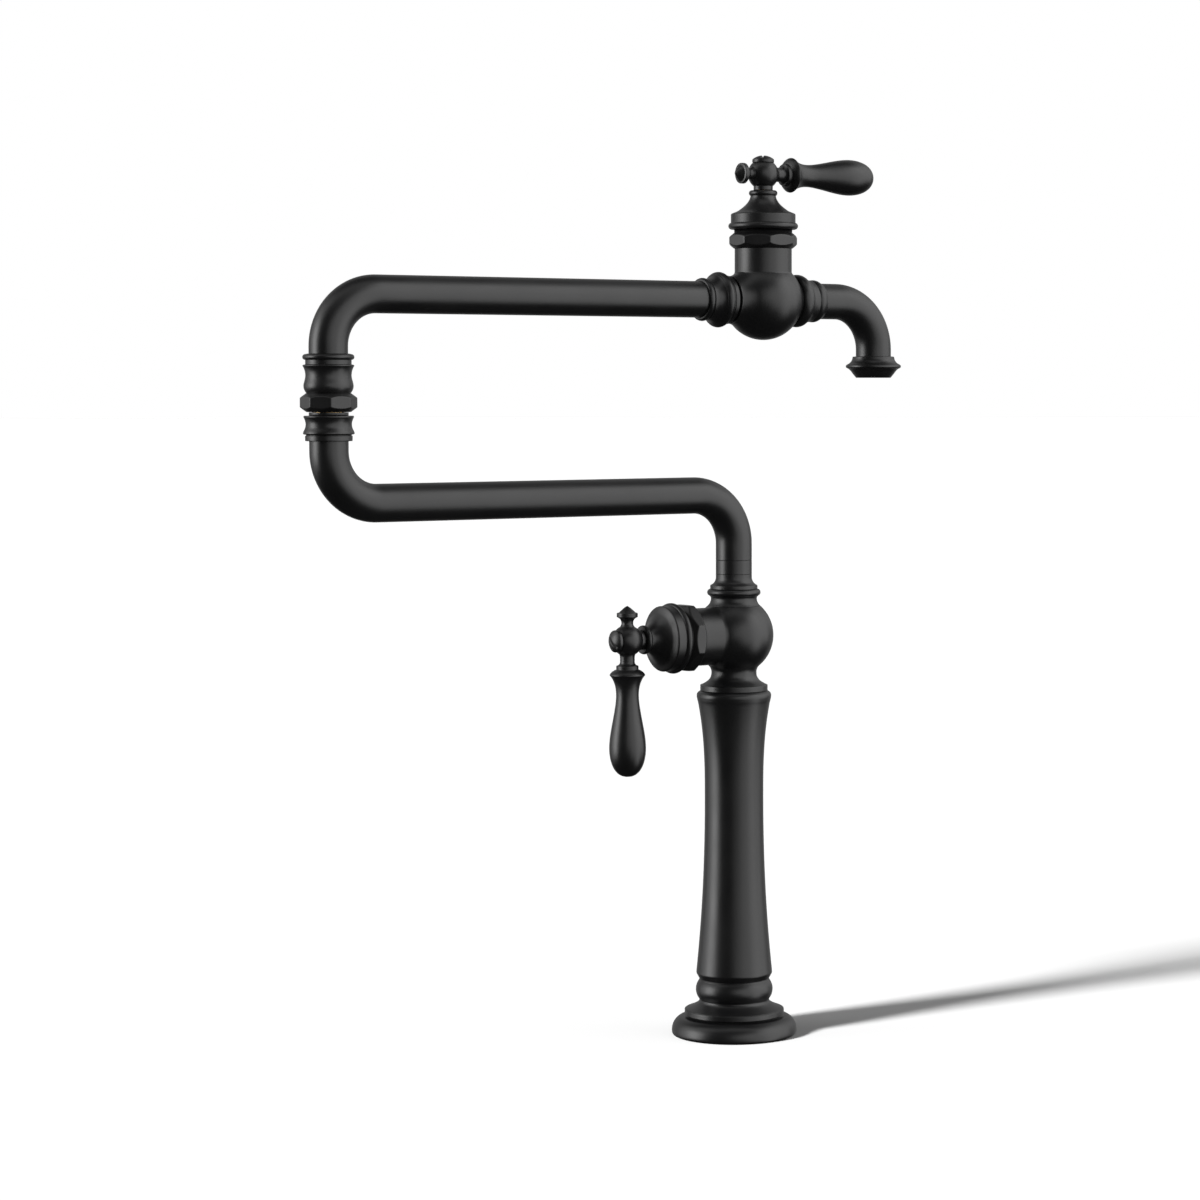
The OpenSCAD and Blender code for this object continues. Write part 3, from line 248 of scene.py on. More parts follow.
def grid_mesh(name, p, closed, poles, wear):
    """A mesh from a grid of points whose second direction goes once round. The first closes on
    itself, or ends in a fan at each pole. wear has one value for each row."""
    rows, turns = p.shape[:2]
    i = np.arange(rows if closed else rows - 1)[:, None]
    j = np.arange(turns)[None, :]
    i2, j2 = (i + 1) % rows, (j + 1) % turns
    quads = np.stack([i * turns + j, i * turns + j2, i2 * turns + j2, i2 * turns + j],
                     axis=-1).reshape(-1, 4)
    verts, shade = p.reshape(-1, 3), np.repeat(wear, turns)
    fans = np.zeros((0, 3), int)
    if poles is not None:
        pole, last = np.full(turns, len(verts)), (rows - 1) * turns
        fans = np.vstack([np.column_stack([pole, j2[0], j[0]]),
                          np.column_stack([pole + 1, last + j[0], last + j2[0]])])
        verts = np.vstack([verts, poles])
        shade = np.concatenate([shade, [0.0, 0.0]])
    mesh = bpy.data.meshes.new(name)
    mesh.vertices.add(len(verts))
    mesh.vertices.foreach_set("co", (verts * MM).astype(np.float32).ravel())
    loops = np.concatenate([quads.ravel(), fans.ravel()])
    sizes = np.repeat([4, 3], [len(quads), len(fans)])
    mesh.loops.add(len(loops))
    mesh.loops.foreach_set("vertex_index", loops.astype(np.int32))
    mesh.polygons.add(len(sizes))
    mesh.polygons.foreach_set("loop_start", (np.cumsum(sizes) - sizes).astype(np.int32))
    mesh.polygons.foreach_set("loop_total", sizes.astype(np.int32))
    mesh.update(calc_edges=True)
    mesh.validate()
    mesh.shade_smooth()
    worn = mesh.attributes.new("wear", "FLOAT", "POINT")
    worn.data.foreach_set("value", shade.astype(np.float32))
    obj = bpy.data.objects.new(name, mesh)
    bpy.context.scene.collection.objects.link(obj)
    return obj


def turned(name, shape, turn=UPRIGHT, at=(0, 0, 0), closed=True, turns=STEPS, radius=None):
    """A turned piece: each outline point (r, z) sweeps a circle, so P(i, a) = (r cos a, r sin a,
    z). radius, if given, changes r by angle and height, as for a nut's flats or a thread."""
    p, wear = eased(shape, closed)
    a = radius.angles(turns) if radius else around(turns)
    poles = None
    if not closed:
        poles = placed(np.array([[0, 0, p[0, 1]], [0, 0, p[-1, 1]]]), turn, at)
        p, wear = p[1:-1], wear[1:-1]
    r = np.repeat(p[:, :1], len(a), axis=1)
    z = np.repeat(p[:, 1:], len(a), axis=1)
    if radius:
        r = radius(r, z, a[None, :])
    points = np.stack([r * np.cos(a), r * np.sin(a), z], axis=-1)
    return grid_mesh(name, placed(points, turn, at), closed, poles, wear)


class Flats:
    """Clips a turned outline to a regular prism with slightly rounded corners: the radius is a
    soft minimum, (r^-q + n^-q)^(-1/q), of the outline's radius and of the prism's, whose radius
    is the apothem over the q-norm of the cosines to its flats."""

    SOFTNESS = 110.0  # q: a higher one makes sharper edges
    BUNCHING = 1.7  # power that crowds the angles

    def __init__(self, sides, apothem, first=0.0):
        self.sides, self.apothem = sides, apothem
        self.centres = first + around(sides)

    def angles(self, turns):
        """Angles that crowd towards the corners, so that the flats stay flat: within a side they
        are its half angle times 1 - (1 - |u|)^BUNCHING, for even steps u."""
        u = np.linspace(-1, 1, turns // self.sides + 1)[:-1]
        half = np.pi / self.sides
        bunched = half * np.sign(u) * (1 - (1 - np.abs(u))**self.BUNCHING)
        return (self.centres[:, None] + bunched[None, :]).ravel()

    def __call__(self, r, z, a):
        """The clipped radius."""
        q = self.SOFTNESS
        facing = np.maximum(np.cos(a[..., None] - self.centres), 1e-3)
        prism = self.apothem / (facing**q).sum(-1)**(1 / q)
        return (r**-q + prism**-q)**(-1 / q)


class Thread:
    """Cuts a screw thread into the outer wall: the radius falls by the depth times a rounded
    triangle wave of (z / pitch - a / turn), which fades out at both ends."""

    RUNOUT = 1.2  # length over which the thread fades at each end
    FLAT = 0.1  # share of the pitch that the crest and the root each keep flat
    ROUNDING = 0.35  # share of a smooth step in the flank, the rest being straight
    SKIN = 0.9  # depth of wall over which the cut fades towards the bore

    angles = staticmethod(around)

    def __init__(self, outer, pitch, depth, low, high):
        self.outer, self.pitch, self.depth, self.low, self.high = outer, pitch, depth, low, high

    def __call__(self, r, z, a):
        """The radius with the thread cut into it."""
        wave = np.abs(((z / self.pitch - a / TURN) % 1.0) * 2 - 1)
        cut = np.clip((wave - self.FLAT) / (1 - 2 * self.FLAT), 0, 1)
        cut = cut * cut * (3 - 2 * cut) * self.ROUNDING + cut * (1 - self.ROUNDING)
        fade = (np.clip((z - self.low) / self.RUNOUT, 0, 1)
                * np.clip((self.high - z) / self.RUNOUT, 0, 1))
        wall = np.clip((r - self.outer + 1.0) / self.SKIN, 0, 1)
        return r - self.depth * cut * fade * wall


def carried(name, shape, path):
    """A tube carried along a path in the XZ plane: each outline point (r, s) sweeps a circle
    about the path's point at distance s, P(i, a) = C(s) + r (cos a N(s) + sin a Y)."""
    p, wear = eased(shape, True)
    centre, normal = path(p[:, 1])
    a = around(STEPS)
    side = np.array([0.0, 1.0, 0.0])
    ring = np.cos(a)[None, :, None] * normal[:, None, :] + np.sin(a)[None, :, None] * side
    return grid_mesh(name, centre[:, None, :] + p[:, :1, None] * ring, True, None, wear)


def joined(name, objects):
    """Several shells as one object under the first one's name."""
    with bpy.context.temp_override(active_object=objects[0], selected_editable_objects=objects):
        bpy.ops.object.join()
    objects[0].name = objects[0].data.name = name
    return objects[0]


def drilled(obj, cutter):
    """Takes the cutter's volume out of a closed shell, where no one sees the cut."""
    cut = obj.modifiers.new("drill", "BOOLEAN")
    cut.object, cut.operation, cut.solver = cutter, "DIFFERENCE", "EXACT"
    bpy.context.view_layer.update()
    view = bpy.context.evaluated_depsgraph_get()
    mesh = bpy.data.meshes.new_from_object(obj.evaluated_get(view))
    obj.modifiers.remove(cut)
    obj.data = mesh
    bpy.data.objects.remove(cutter)
    return obj


# Finishes

def feed(tree, slot, value):
    """Sets a socket from a value, or links it to another socket."""
    if isinstance(value, bpy.types.NodeSocket):
        tree.links.new(value, slot)
    else:
        slot.default_value = value


def node(tree, kind, **sockets):
    """A shader node. A key that begins with set_ is one of its settings. Any other is one of its
    sockets, by name, or by number after the letter i."""
    n = tree.nodes.new("ShaderNode" + kind)
    for key in [key for key in sockets if key.startswith("set_")]:
        setattr(n, key[4:], sockets.pop(key))
    for key, value in sockets.items():
        numbered = key[0] == "i" and key[1:].isdigit()
        feed(tree, n.inputs[int(key[1:]) if numbered else key.replace("_", " ")], value)
    return n


def maths(tree, operation, *values):
    """One operation on one or two values."""
    n = node(tree, "Math", set_operation=operation)
    for slot, value in zip(n.inputs, values):
        feed(tree, slot, value)
    return n.outputs[0]


def noise(tree, scale, detail=3.0, rough=0.55, where=None):
    """Noise on the object's own coordinates or others, with its scale in waves to the metre."""
    where = where or node(tree, "TexCoord").outputs["Object"]
    return node(tree, "TexNoise", Vector=where, Scale=scale, Detail=detail,
                Roughness=rough).outputs["Fac"]


def ramp(tree, value, low, high, to_low=0.0, to_high=1.0):
    """Maps a value from one range to another."""
    return node(tree, "MapRange", Value=value, From_Min=low, From_Max=high,
                To_Min=to_low, To_Max=to_high).outputs["Result"]


def blend_colour(tree, fac, a, b):
    """A mix of two colours, which are the node's sockets 6 and 7 and its output 2."""
    return node(tree, "Mix", set_data_type="RGBA", i0=fac, i6=a, i7=b).outputs[2]


def finish(name, metallic=0.0, specular=0.5):
    """A new material with one principled shader, its tree and the shader."""
    m = bpy.data.materials.new(name)
    m.use_nodes = True
    shader = m.node_tree.nodes["Principled BSDF"]
    shader.inputs["Metallic"].default_value = metallic
    shader.inputs["Specular IOR Level"].default_value = specular
    return m, m.node_tree, shader


def surface(tree, shader, colour, rough, height, strength, depth):
    """Links a finish's colour, roughness and bump to its shader. depth is in metres."""
    bump = node(tree, "Bump", Strength=strength, Distance=depth, Height=height)
    tree.links.new(colour, shader.inputs["Base Color"])
    tree.links.new(rough, shader.inputs["Roughness"])
    tree.links.new(bump.outputs["Normal"], shader.inputs["Normal"])


# The coat's dark and pale patches, its specks and its rubbed edges
COAT_DARK = (0.0046, 0.0046, 0.0049, 1)
COAT_PALE = (0.0066, 0.0066, 0.0069, 1)
COAT_SPECK = (0.012, 0.012, 0.0125, 1)
COAT_EDGE = (0.020, 0.0195, 0.0195, 1)


def satin_black():
    """Black coating over brass: a fine pebble from the spray, slow changes in sheen, dust grey on
    the edges, where the coat is thinner and rubbed smoother."""
    m, tree, shader = finish("satin_black_coat")
    slow = noise(tree, 35.0, 4.0)
    fine = noise(tree, 2600.0, 2.0, 0.5)
    orange_peel = noise(tree, 700.0, 2.0, 0.45)
    wear = node(tree, "Attribute", set_attribute_name="wear").outputs["Fac"]
    patchy = maths(tree, "MULTIPLY", wear, ramp(tree, noise(tree, 260.0), 0.4, 0.7))
    base = blend_colour(tree, ramp(tree, slow, 0.35, 0.65), COAT_DARK, COAT_PALE)
    speck = blend_colour(tree, ramp(tree, fine, 0.62, 0.75, 0.0, 0.5), base, COAT_SPECK)
    rough = maths(tree, "SUBTRACT", ramp(tree, slow, 0.3, 0.7, 0.33, 0.40),
                  ramp(tree, wear, 0.0, 1.0, 0.0, 0.06))
    pebble = maths(tree, "ADD", ramp(tree, fine, 0.3, 0.7, 0.0, 0.5),
                   ramp(tree, orange_peel, 0.3, 0.7, 0.0, 0.5))
    surface(tree, shader, blend_colour(tree, patchy, speck, COAT_EDGE), rough, pebble, 0.22, 6e-5)
    return m


def metal(name, light, dark, rough, squeeze):
    """Bare turned or stamped metal: fine tool marks, a slow tarnish and smudges in the sheen.
    squeeze is the marks' waves to the metre along each axis."""
    m, tree, shader = finish(name, metallic=1.0)
    where = node(tree, "TexCoord").outputs["Object"]
    squeezed = node(tree, "Mapping", Vector=where, Scale=squeeze).outputs["Vector"]
    marks = noise(tree, 1.0, 5.0, 0.65, squeezed)
    tarnish = ramp(tree, noise(tree, 60.0, 4.0, 0.6), 0.4, 0.68)
    surface(tree, shader, blend_colour(tree, tarnish, light, dark),
            ramp(tree, marks, 0.3, 0.7, rough - 0.06, rough + 0.1), marks, 0.25, 4e-5)
    return m


def moulded(name, colour, dusty, rough, grain, depth):
    """Moulded rubber, plastic or ceramic: an even grain, with a slow change in colour and sheen.
    grain is in waves to the metre, depth in metres."""
    m, tree, shader = finish(name)
    slow = noise(tree, 90.0)
    surface(tree, shader, blend_colour(tree, ramp(tree, slow, 0.4, 0.7), colour, dusty),
            ramp(tree, slow, 0.3, 0.7, rough - 0.05, rough + 0.05), noise(tree, grain), 0.3, depth)
    return m


FINISHES = {
    "black_coat": satin_black(),
    "brass": metal("turned_brass", (0.72, 0.52, 0.25, 1), (0.48, 0.33, 0.15, 1), 0.30,
                   (300, 300, 9000)),
    "steel": metal("stamped_steel", (0.60, 0.61, 0.62, 1), (0.46, 0.46, 0.47, 1), 0.34,
                   (6000, 500, 500)),
    "rubber": moulded("moulded_rubber", (0.020, 0.020, 0.021, 1), (0.038, 0.037, 0.036, 1), 0.72,
                      1500.0, 6e-5),
    "ceramic": moulded("lapped_ceramic", (0.86, 0.84, 0.79, 1), (0.80, 0.77, 0.71, 1), 0.12,
                       3000.0, 1e-5),
    "white_plastic": moulded("white_plastic", (0.80, 0.80, 0.78, 1), (0.72, 0.72, 0.69, 1), 0.45,
                             1200.0, 3e-5),
}

SLOT_OF = {s["node"]: s["material_slot"] for s in frame["record"]["subparts"]}
BODY_OF = {n: b for b, ns in frame["record"]["behaviour"]["bodies"].items() for n in ns}


def dress(obj, node_name):
    """Gives an object the finish that the record names for the node."""
    obj.data.materials.clear()
    obj.data.materials.append(FINISHES[SLOT_OF[node_name]])


for node_name, cad_node in frame["nodes"].items():
    dress(cad_node, node_name)


def stand_for(obj, node_name):
    """The piece takes the CAD node's place, body and finish."""
    dress(obj, node_name)
    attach(obj, BODY_OF[node_name])
    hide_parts(node_name)


def build(*makers):
    """Makes the pieces whose functions are named after the CAD nodes that they stand for."""
    for maker in makers:
        stand_for(maker(), maker.__name__)


# Base

def deck_flange():
    """The foot: an ovolo, a small cove under the step disc, and a gasket groove underneath."""
    shape = outline(
        corners((16.05, 0, 0.3), (25.95, 0, 0.2), (25.95, 1.5), (31.05, 1.5), (31.05, 0, 0.2),
                (33.9, 0, 0.5)), smooth([(34.35, 0.25), (34.75, 0.9), (34.9, 2.0)], 6),
        quarter(34.9, 2.2, 28.1, 10.1, 26),
        smooth([(28.1, 10.1), (27.3, 10.3), (26.8, 10.7), (26.55, 11.1)], 7),
        corners((26.5, FOOT_TOP, 0.05), (27.7, FOOT_TOP, 0.22), (27.7, RING_BOTTOM, 0.4),
                (18.55, RING_BOTTOM), (18.55, 10.5), (16.05, 10.5)))
    return turned("foot", shape, turns=BODY_STEPS)


def base_ring():
    """The turned ring over the foot: a hollow flare, then a bulge between two grooves."""
    shape = outline(
        corners((14.65, RING_BOTTOM), (27.1, RING_BOTTOM, 0.1)),
        flare(27.2, 14.15, 19.55, 18.7, 1.6, 22), corners((19.5, 18.75), (19.5, 19.75)),
        bead(19.55, 21.45, 25.05, 5.25, 28),
        corners((19.5, 30.35), (19.5, COLUMN_BOTTOM), (18.15, COLUMN_BOTTOM), (18.15, 35.4, 0.3),
                (10.2, 35.4, 0.2), (10.2, 21.3), (14.65, 21.3)))
    return turned("base_ring_turned", shape, turns=BODY_STEPS)


def column_side(inset, count):
    """The column's long hollow side: a power curve down from the waist and another one up. Its
    radius is the waist's, plus 4.95 times the way down to the power 2.15, plus 3.75 times the
    way up to the power 2.65, less the inset."""
    low, waist, high = 34.3, 134.36, 185.9
    z = np.linspace(low, high, count)
    down = np.clip((waist - z) / (waist - low), 0, 1)
    up = np.clip((z - waist) / (high - waist), 0, 1)
    return plain(16.3 - inset + 4.95 * down**2.15 + 3.75 * up**2.65, z)


def column_sleeve():
    """The tapered column, chamfered at its foot and rounded at its top."""
    wall = 2.6
    shape = outline(
        corners((18.65, COLUMN_BOTTOM, 0.1), (19.6, COLUMN_BOTTOM, 0.25), (21.2, 34.25, 0.7)),
        column_side(0, 90)[2:-1],
        smooth([(20.05, 185.9), (20.36, 187.0), (20.57, 188.0), (20.72, 188.8), (20.75, 189.4),
                (20.62, 190.3), (20.26, 191.0), (19.7, 191.55), (19.0, 192.0)], 26),
        corners((18.4, COLUMN_TOP, 0.2), (17.45, COLUMN_TOP, 0.2), (17.45, 186.5)),
        column_side(wall, 36)[::-1])
    return turned("column_turned", shape, turns=BODY_STEPS)


def threaded(name, bore, outer, pitch, depth, low, high, rest):
    """A threaded length of rod or pipe, from low to high, joined to the rest of its outline. Ten
    points to the pitch carry the thread."""
    chamfer = 0.7
    count = int((high - low) / pitch * 10)
    shape = outline(
        corners((bore, low, 0.2), (outer - 0.6, low, 0.3)),
        line(outer, low + chamfer, outer, high, count), rest)
    return turned(name, shape, turns=SMALL_STEPS,
                  radius=Thread(outer, pitch, depth, low + chamfer, high))


def mounting_shank():
    """The threaded shank under the deck, its shoulder in the foot and its boss in the ring."""
    rest = corners((16, 10.4), (18.5, 10.5), (18.5, RING_BOTTOM, 0.3), (14.6, RING_BOTTOM),
                   (14.6, 21.1, 0.4), (SOCKET, 21.1, 0.1))
    return threaded("shank_threaded", SOCKET, outer=16.0, pitch=1.5, depth=0.75, low=-62.0,
                    high=8.0, rest=rest)


def riser_pipe():
    """The inlet pipe with its outside thread, up to its flat seal in the lower body."""
    bore, outer, top = 8.0, 10.0, 204.5
    rest = corners((outer, -63.6, 0.2), (outer, top, 0.2), (bore, top, 0.2))
    return threaded("riser_threaded", bore, outer=10.48, pitch=1.814, depth=0.9, low=-80.0,
                    high=-64.0, rest=rest)


def lock_nut():
    """The hexagon nut under the worktop, with turned corners on both faces."""
    bore, face, cone, bottom, top = 16.05, 22.6, 14, -43, -35
    shape = outline(
        corners((bore, bottom, 0.3), (face, bottom, 0.2)), line(22.9, -42.9, 27.9, -40.6, cone),
        line(27.9, -37.4, 22.9, -35.1, cone), corners((face, top, 0.2), (bore, top, 0.3)))
    return turned("lock_nut_cut", shape, turns=BODY_STEPS, radius=Flats(6, 23.0, TURN / 12))


def washer(name, inner, outer, low, high, ease):
    """A flat ring with eased edges."""
    return turned(name, corners((inner, low, ease), (outer, low, ease), (outer, high, ease),
                                (inner, high, ease)))


build(deck_flange, base_ring, column_sleeve, mounting_shank, riser_pipe, lock_nut)
stand_for(washer("rubber_washer", 16.2, 29.0, -33.0, -30.0, 0.5), "deck_rubber_washer")
stand_for(washer("steel_washer", 16.2, 29.0, -35.0, -33.0, 0.35), "deck_steel_washer")
stand_for(washer("foot_gasket", 26.05, 30.95, 0.0, 1.5, 0.3), "flange_gasket")


# Valve bodies

AT_LOWER_BALL = (0, 0, LOWER_BALL)
AT_UPPER_BALL = (VALVE_X, 0, UPPER_ARM)


def stub_mouth(*inside):
    """The stub's end face, the counterbore for the nut's spigot and the cartridge's bore."""
    return corners((STUB, NUT, 0.3), (COUNTERBORE, NUT), (COUNTERBORE, SPIGOT_FOOT, 0.4),
                   (CARTRIDGE_BORE, SPIGOT_FOOT, 0.2), *inside)


def ball_foot(low, middle, high):
    """The first points of a stub or neck, a hair under the ball's surface, so that the piece
    rises out of the ball without a seam. The angles are counted as in arc()."""
    deep, shallow = BALL - 0.12, BALL - 0.02
    return outline(arc(0, 0, deep, low, middle, 4), arc(0, 0, shallow, middle + 1.0, high, 3))


def stub_shell(name, turn, at):
    """The bonnet stub of the lower ball, eased into the ball, with the cartridge's bore."""
    shape = outline(
        corners((CARTRIDGE_BORE, 11.5), (17.0, 11.9)), ball_foot(33.0, 36.5, 39.6),
        ball_fillet(STUB, 4.0, 1, 0), stub_mouth())
    return turned(name, shape, turn, at)


def lower_valve_body():
    """Foot flange, neck, ball and upper neck in one turned shell, with the stub joined to it. The
    drill for the cartridge ends inside the stub's wall, and its axis lies a hair beside the
    ball's, because the two shells may have no edge in common."""
    shape = outline(
        corners((SOCKET, 185.9, 0.3), (17.4, 185.9, 0.4), (17.4, COLUMN_TOP),
                (18.75, COLUMN_TOP, 0.25), (18.75, 195.4, 0.35)),
        smooth([(17.95, 195.5), (17.3, 195.95), (16.3, 196.5), (15.4, 197.05), (14.6, 197.65),
                (13.95, 198.3), (13.4, 199.05), (12.95, 199.9), (12.68, 200.8),
                (12.57, 201.7)], 26), ball_fillet(NECK, 5.0, -1, LOWER_BALL),
        arc(0, LOWER_BALL, BALL, -49.2, 50.7, 72), ball_fillet(12.75, 5.6, 1, LOWER_BALL),
        smooth([(12.77, 243.85), (12.92, 244.3), (13.2, 244.7), (13.65, 245.05)], 8),
        bead(13.6, 14.85, 246.9, 1.78, 22),
        corners((12.6, 248.68), (10.65, GLAND_BOTTOM), (10.65, 240.1), (SPINDLE_BORE, 240.1),
                (SPINDLE_BORE, 231.7), (7, 231.7), (7, 206.3), (SOCKET, 206.3)))
    body = turned("lower_body", shape, turns=BODY_STEPS)
    drill = turned("drill", corners((0, 9), (13.9, 9), (13.9, 40), (0, 40)), ALONG_LEFT,
                   (0, 0.07, LOWER_BALL), closed=False)
    return joined("lower_body", [drilled(body, drill),
                                 stub_shell("stub", ALONG_LEFT, AT_LOWER_BALL)])


def port_neck(face, radius, ease, short, edge, turn):
    """The short neck between the upper ball and a ferrule, eased into the ball."""
    bore = 8.75
    fillet = ball_fillet(radius, ease, 1, 0, 18, short)
    low = np.degrees(np.arctan2(fillet[0, 1], fillet[0, 0]))
    shape = outline(
        corners((bore, 11.0)), ball_foot(low - 7.0, low - 3.0, low - 0.5), fillet,
        corners((edge, face, 0.2), (bore, face)))
    return turned("neck", shape, turn, AT_UPPER_BALL, turns=BELL_STEPS)


def upper_valve_body():
    """The upper ball with its stub on top, and a short neck at each side."""
    shape = outline(
        corners((0, -BALL)), arc(0, 0, BALL, -89.2, 41.9, 96), ball_fillet(STUB, 1.8, 1, 0),
        stub_mouth((CARTRIDGE_BORE, 9), (0, 9)))
    ball = turned("upper_body", shape, UPRIGHT, AT_UPPER_BALL, closed=False, turns=BODY_STEPS)
    return joined("upper_body", [
        ball,
        port_neck(INLET_FACE, radius=13.0, ease=16.0, short=6.0, edge=13.15, turn=ALONG_LEFT),
        port_neck(OUTLET_FACE, radius=12.6, ease=3.0, short=0.0, edge=12.6, turn=ALONG_RIGHT)])


def swivel_gland():
    """The ring and flare over the lower body, threaded into it."""
    shape = outline(
        corners((TUBE_BORE, 243.4, 0.1), (10.6, 243.4, 0.3), (10.6, GLAND_BOTTOM),
                (13.15, GLAND_BOTTOM, 0.35), (13.15, 250.75, 0.3)),
        smooth([(12.95, 250.85), (12.3, 251.3), (11.5, 251.85), (10.98, 252.4), (10.6, 253.0),
                (10.33, 253.6), (10.15, 254.2), (10.04, 254.8), (10.0, 255.4)], 20),
        corners((TUBE, SEAM, 0.16), (TUBE_BORE, SEAM, 0.1)))
    return turned("gland", shape)


def swivel_sleeve():
    """The short sleeve between the two fine seams."""
    return turned("sleeve", corners((TUBE_BORE, 257.05, 0.1), (TUBE, 257.05, 0.22),
                                    (TUBE, 264.81, 0.22), (TUBE_BORE, 264.81, 0.1)))


build(lower_valve_body, upper_valve_body, swivel_gland, swivel_sleeve)


# Bonnets

def bonnet_nut(name, turn, at):
    """Eight flats under two turned cones, a plain collar and the spigot in the bonnet."""
    shape = outline(
        corners((14.45, NUT, 0.1), (16.15, NUT, 0.15)), line(16.4, NUT + 0.1, 20.4, NUT + 3.3, 16),
        line(20.4, NUT + 5.3, 16.45, NUT + 8.5, 16),
        corners((16.15, DRUM + 0.02), (16.15, 39.35), (14.9, 39.35), (14.9, 45.3, 0.3),
                (8.2, 45.3, 0.2), (8.2, SPIGOT_FOOT), (14.45, SPIGOT_FOOT)))
    return turned(name, shape, turn, at, turns=NUT_STEPS, radius=Flats(8, 17.92))


def bonnet(name, turn, at):
    """Bead, drum, bell and the small bead on top, hollow inside round the cartridge's neck."""
    shape = outline(
        corners((14.95, 39.38), (16.2, 39.38, 0.1), (17.9, 39.42)),
        bead(18.0, 19.4, 41.22, 1.8, 20), corners((18.0, 43.05), (18.0, 47.75, 0.3)),
        smooth([(17.6, 48.1), (16.9, 48.42), (15.6, 48.93), (14.1, 49.62), (12.6, 50.65),
                (11.15, 51.8), (9.85, 52.95), (8.8, 54.15), (7.95, 55.4), (7.4, 56.5),
                (7.16, 57.4)], 34), corners((7.1, 57.95)), bead(7.15, 7.95, 59.5, 1.42, 16),
        corners((7.0, BELL_TOP, 0.1), (4.05, BELL_TOP, 0.1), (4.05, 53.25), (4.68, 53.25),
                (5.94, 51.9), (8.28, 50.1), (11.16, 48.3), (14.2, 46.7), (14.95, 45.5)))
    return turned(name, shape, turn, at, turns=BELL_STEPS)


stand_for(bonnet_nut("lower_nut", ALONG_LEFT, AT_LOWER_BALL), "lower_bonnet_nut")
stand_for(bonnet_nut("upper_nut", UPRIGHT, AT_UPPER_BALL), "upper_bonnet_nut")
stand_for(bonnet("lower_bell", ALONG_LEFT, AT_LOWER_BALL), "lower_bonnet")
stand_for(bonnet("upper_bell", UPRIGHT, AT_UPPER_BALL), "upper_bonnet")


# Arms and spout

def path_of(start, legs):
    """A path in the XZ plane from a start point, as legs of (length, heading in degrees, swing).
    The swing is 0 on a straight leg, and 1 or -1 on a quarter bend to the left or right. A
    straight leg is C(d) = p + d t, and a bend C(a) = p + R (sin a t + swing (1 - cos a) n), with
    the angle a = d / R. Gives a function from distance to the path's points and normals, and the
    distances at which the legs begin and end."""
    points = [np.array(start, float)]
    for length, heading, swing in legs:
        t = np.array([np.cos(np.radians(heading)), np.sin(np.radians(heading))])
        n = swing * np.array([-t[1], t[0]])
        points.append(points[-1] + (BEND * (t + n) if swing else t * length))
    lengths, headings, swings = np.array(legs, float).T
    heads, starts = np.radians(headings), np.array(points[:-1])
    ends = np.cumsum(lengths)
    begins = ends - lengths

    def at(s):
        i = np.clip(np.searchsorted(ends, s, side="left"), 0, len(ends) - 1)
        d, swing = (s - begins[i])[:, None], swings[i][:, None]
        t = np.column_stack([np.cos(heads[i]), np.sin(heads[i])])
        n = np.column_stack([-t[:, 1], t[:, 0]])
        bend, a = np.abs(swing), d / BEND
        curved = BEND * (np.sin(a) * t + swing * (1 - np.cos(a)) * n)
        c = starts[i] + (1 - bend) * d * t + bend * curved
        turned_by = bend * (swing * a)
        tangent = np.cos(turned_by) * t + np.sin(turned_by) * n
        centre = np.column_stack([c[:, 0], np.zeros(len(s)), c[:, 1]])
        normal = np.column_stack([tangent[:, 1], np.zeros(len(s)), -tangent[:, 0]])
        return centre, normal

    return at, begins, ends


def tube(name, start, legs):
    """A bent tube: its outline goes up the outside and back down the bore."""
    at, begins, ends = path_of(start, legs)
    length = float(ends[-1])
    straight, bent, margin = 12, 30, 0.5
    stops = np.unique(np.round(np.concatenate([
        np.linspace(begin, end, bent if leg[2] else straight)
        for begin, end, leg in zip(begins, ends, legs)]), 4))
    stops = stops[(stops > margin) & (stops < length - margin)]
    flat = np.zeros(len(stops))
    shape = outline(
        corners((TUBE_BORE, 0, 0.15), (TUBE, 0, 0.2)), plain(flat + TUBE, stops),
        corners((TUBE, length, 0.2), (TUBE_BORE, length, 0.15)),
        plain(flat + TUBE_BORE, stops)[::-1])
    return carried(name, shape, at)


QUARTER = BEND * np.pi / 2


def lower_arm_tube():
    """Up from the seam, along -X to the knuckle, and up into its collar."""
    return tube("lower_arm_bent", (0, LOWER_TUBE + SEAM_GAP), [
        (LOWER_ARM - LOWER_TUBE - SEAM_GAP - BEND, 90, 0), (QUARTER, 90, 1),
        (-KNUCKLE_X - 2 * BEND, 180, 0), (QUARTER, 180, -1),
        (COLLAR_BOTTOM + TUBE_DEPTH - LOWER_ARM - BEND, 90, 0)])


def upper_arm_tube():
    """Up out of the knuckle, and along +X to the upper ball."""
    end = VALVE_X - INLET_FACE - INLET_FERRULE + TUBE_DEPTH
    return tube("upper_arm_bent", (KNUCKLE_X, UPPER_COLLAR_TOP - TUBE_DEPTH), [
        (UPPER_ARM - BEND - UPPER_COLLAR_TOP + TUBE_DEPTH, 90, 0), (QUARTER, 90, -1),
        (end - KNUCKLE_X - BEND, 0, 0)])


def spout_tube():
    """Along +X out of the upper ball, and down into the outlet."""
    begin = VALVE_X + OUTLET_FACE + OUTLET_FERRULE - TUBE_DEPTH
    return tube("spout_bent", (begin, UPPER_ARM), [
        (SPOUT_X - BEND - begin, 0, 0), (QUARTER, 0, -1),
        (UPPER_ARM - BEND - OUTLET_TOP + SPOUT_DEPTH, -90, 0)])


build(lower_arm_tube, upper_arm_tube, spout_tube)


# Knuckle

AT_KNUCKLE = (KNUCKLE_X, 0, 0)


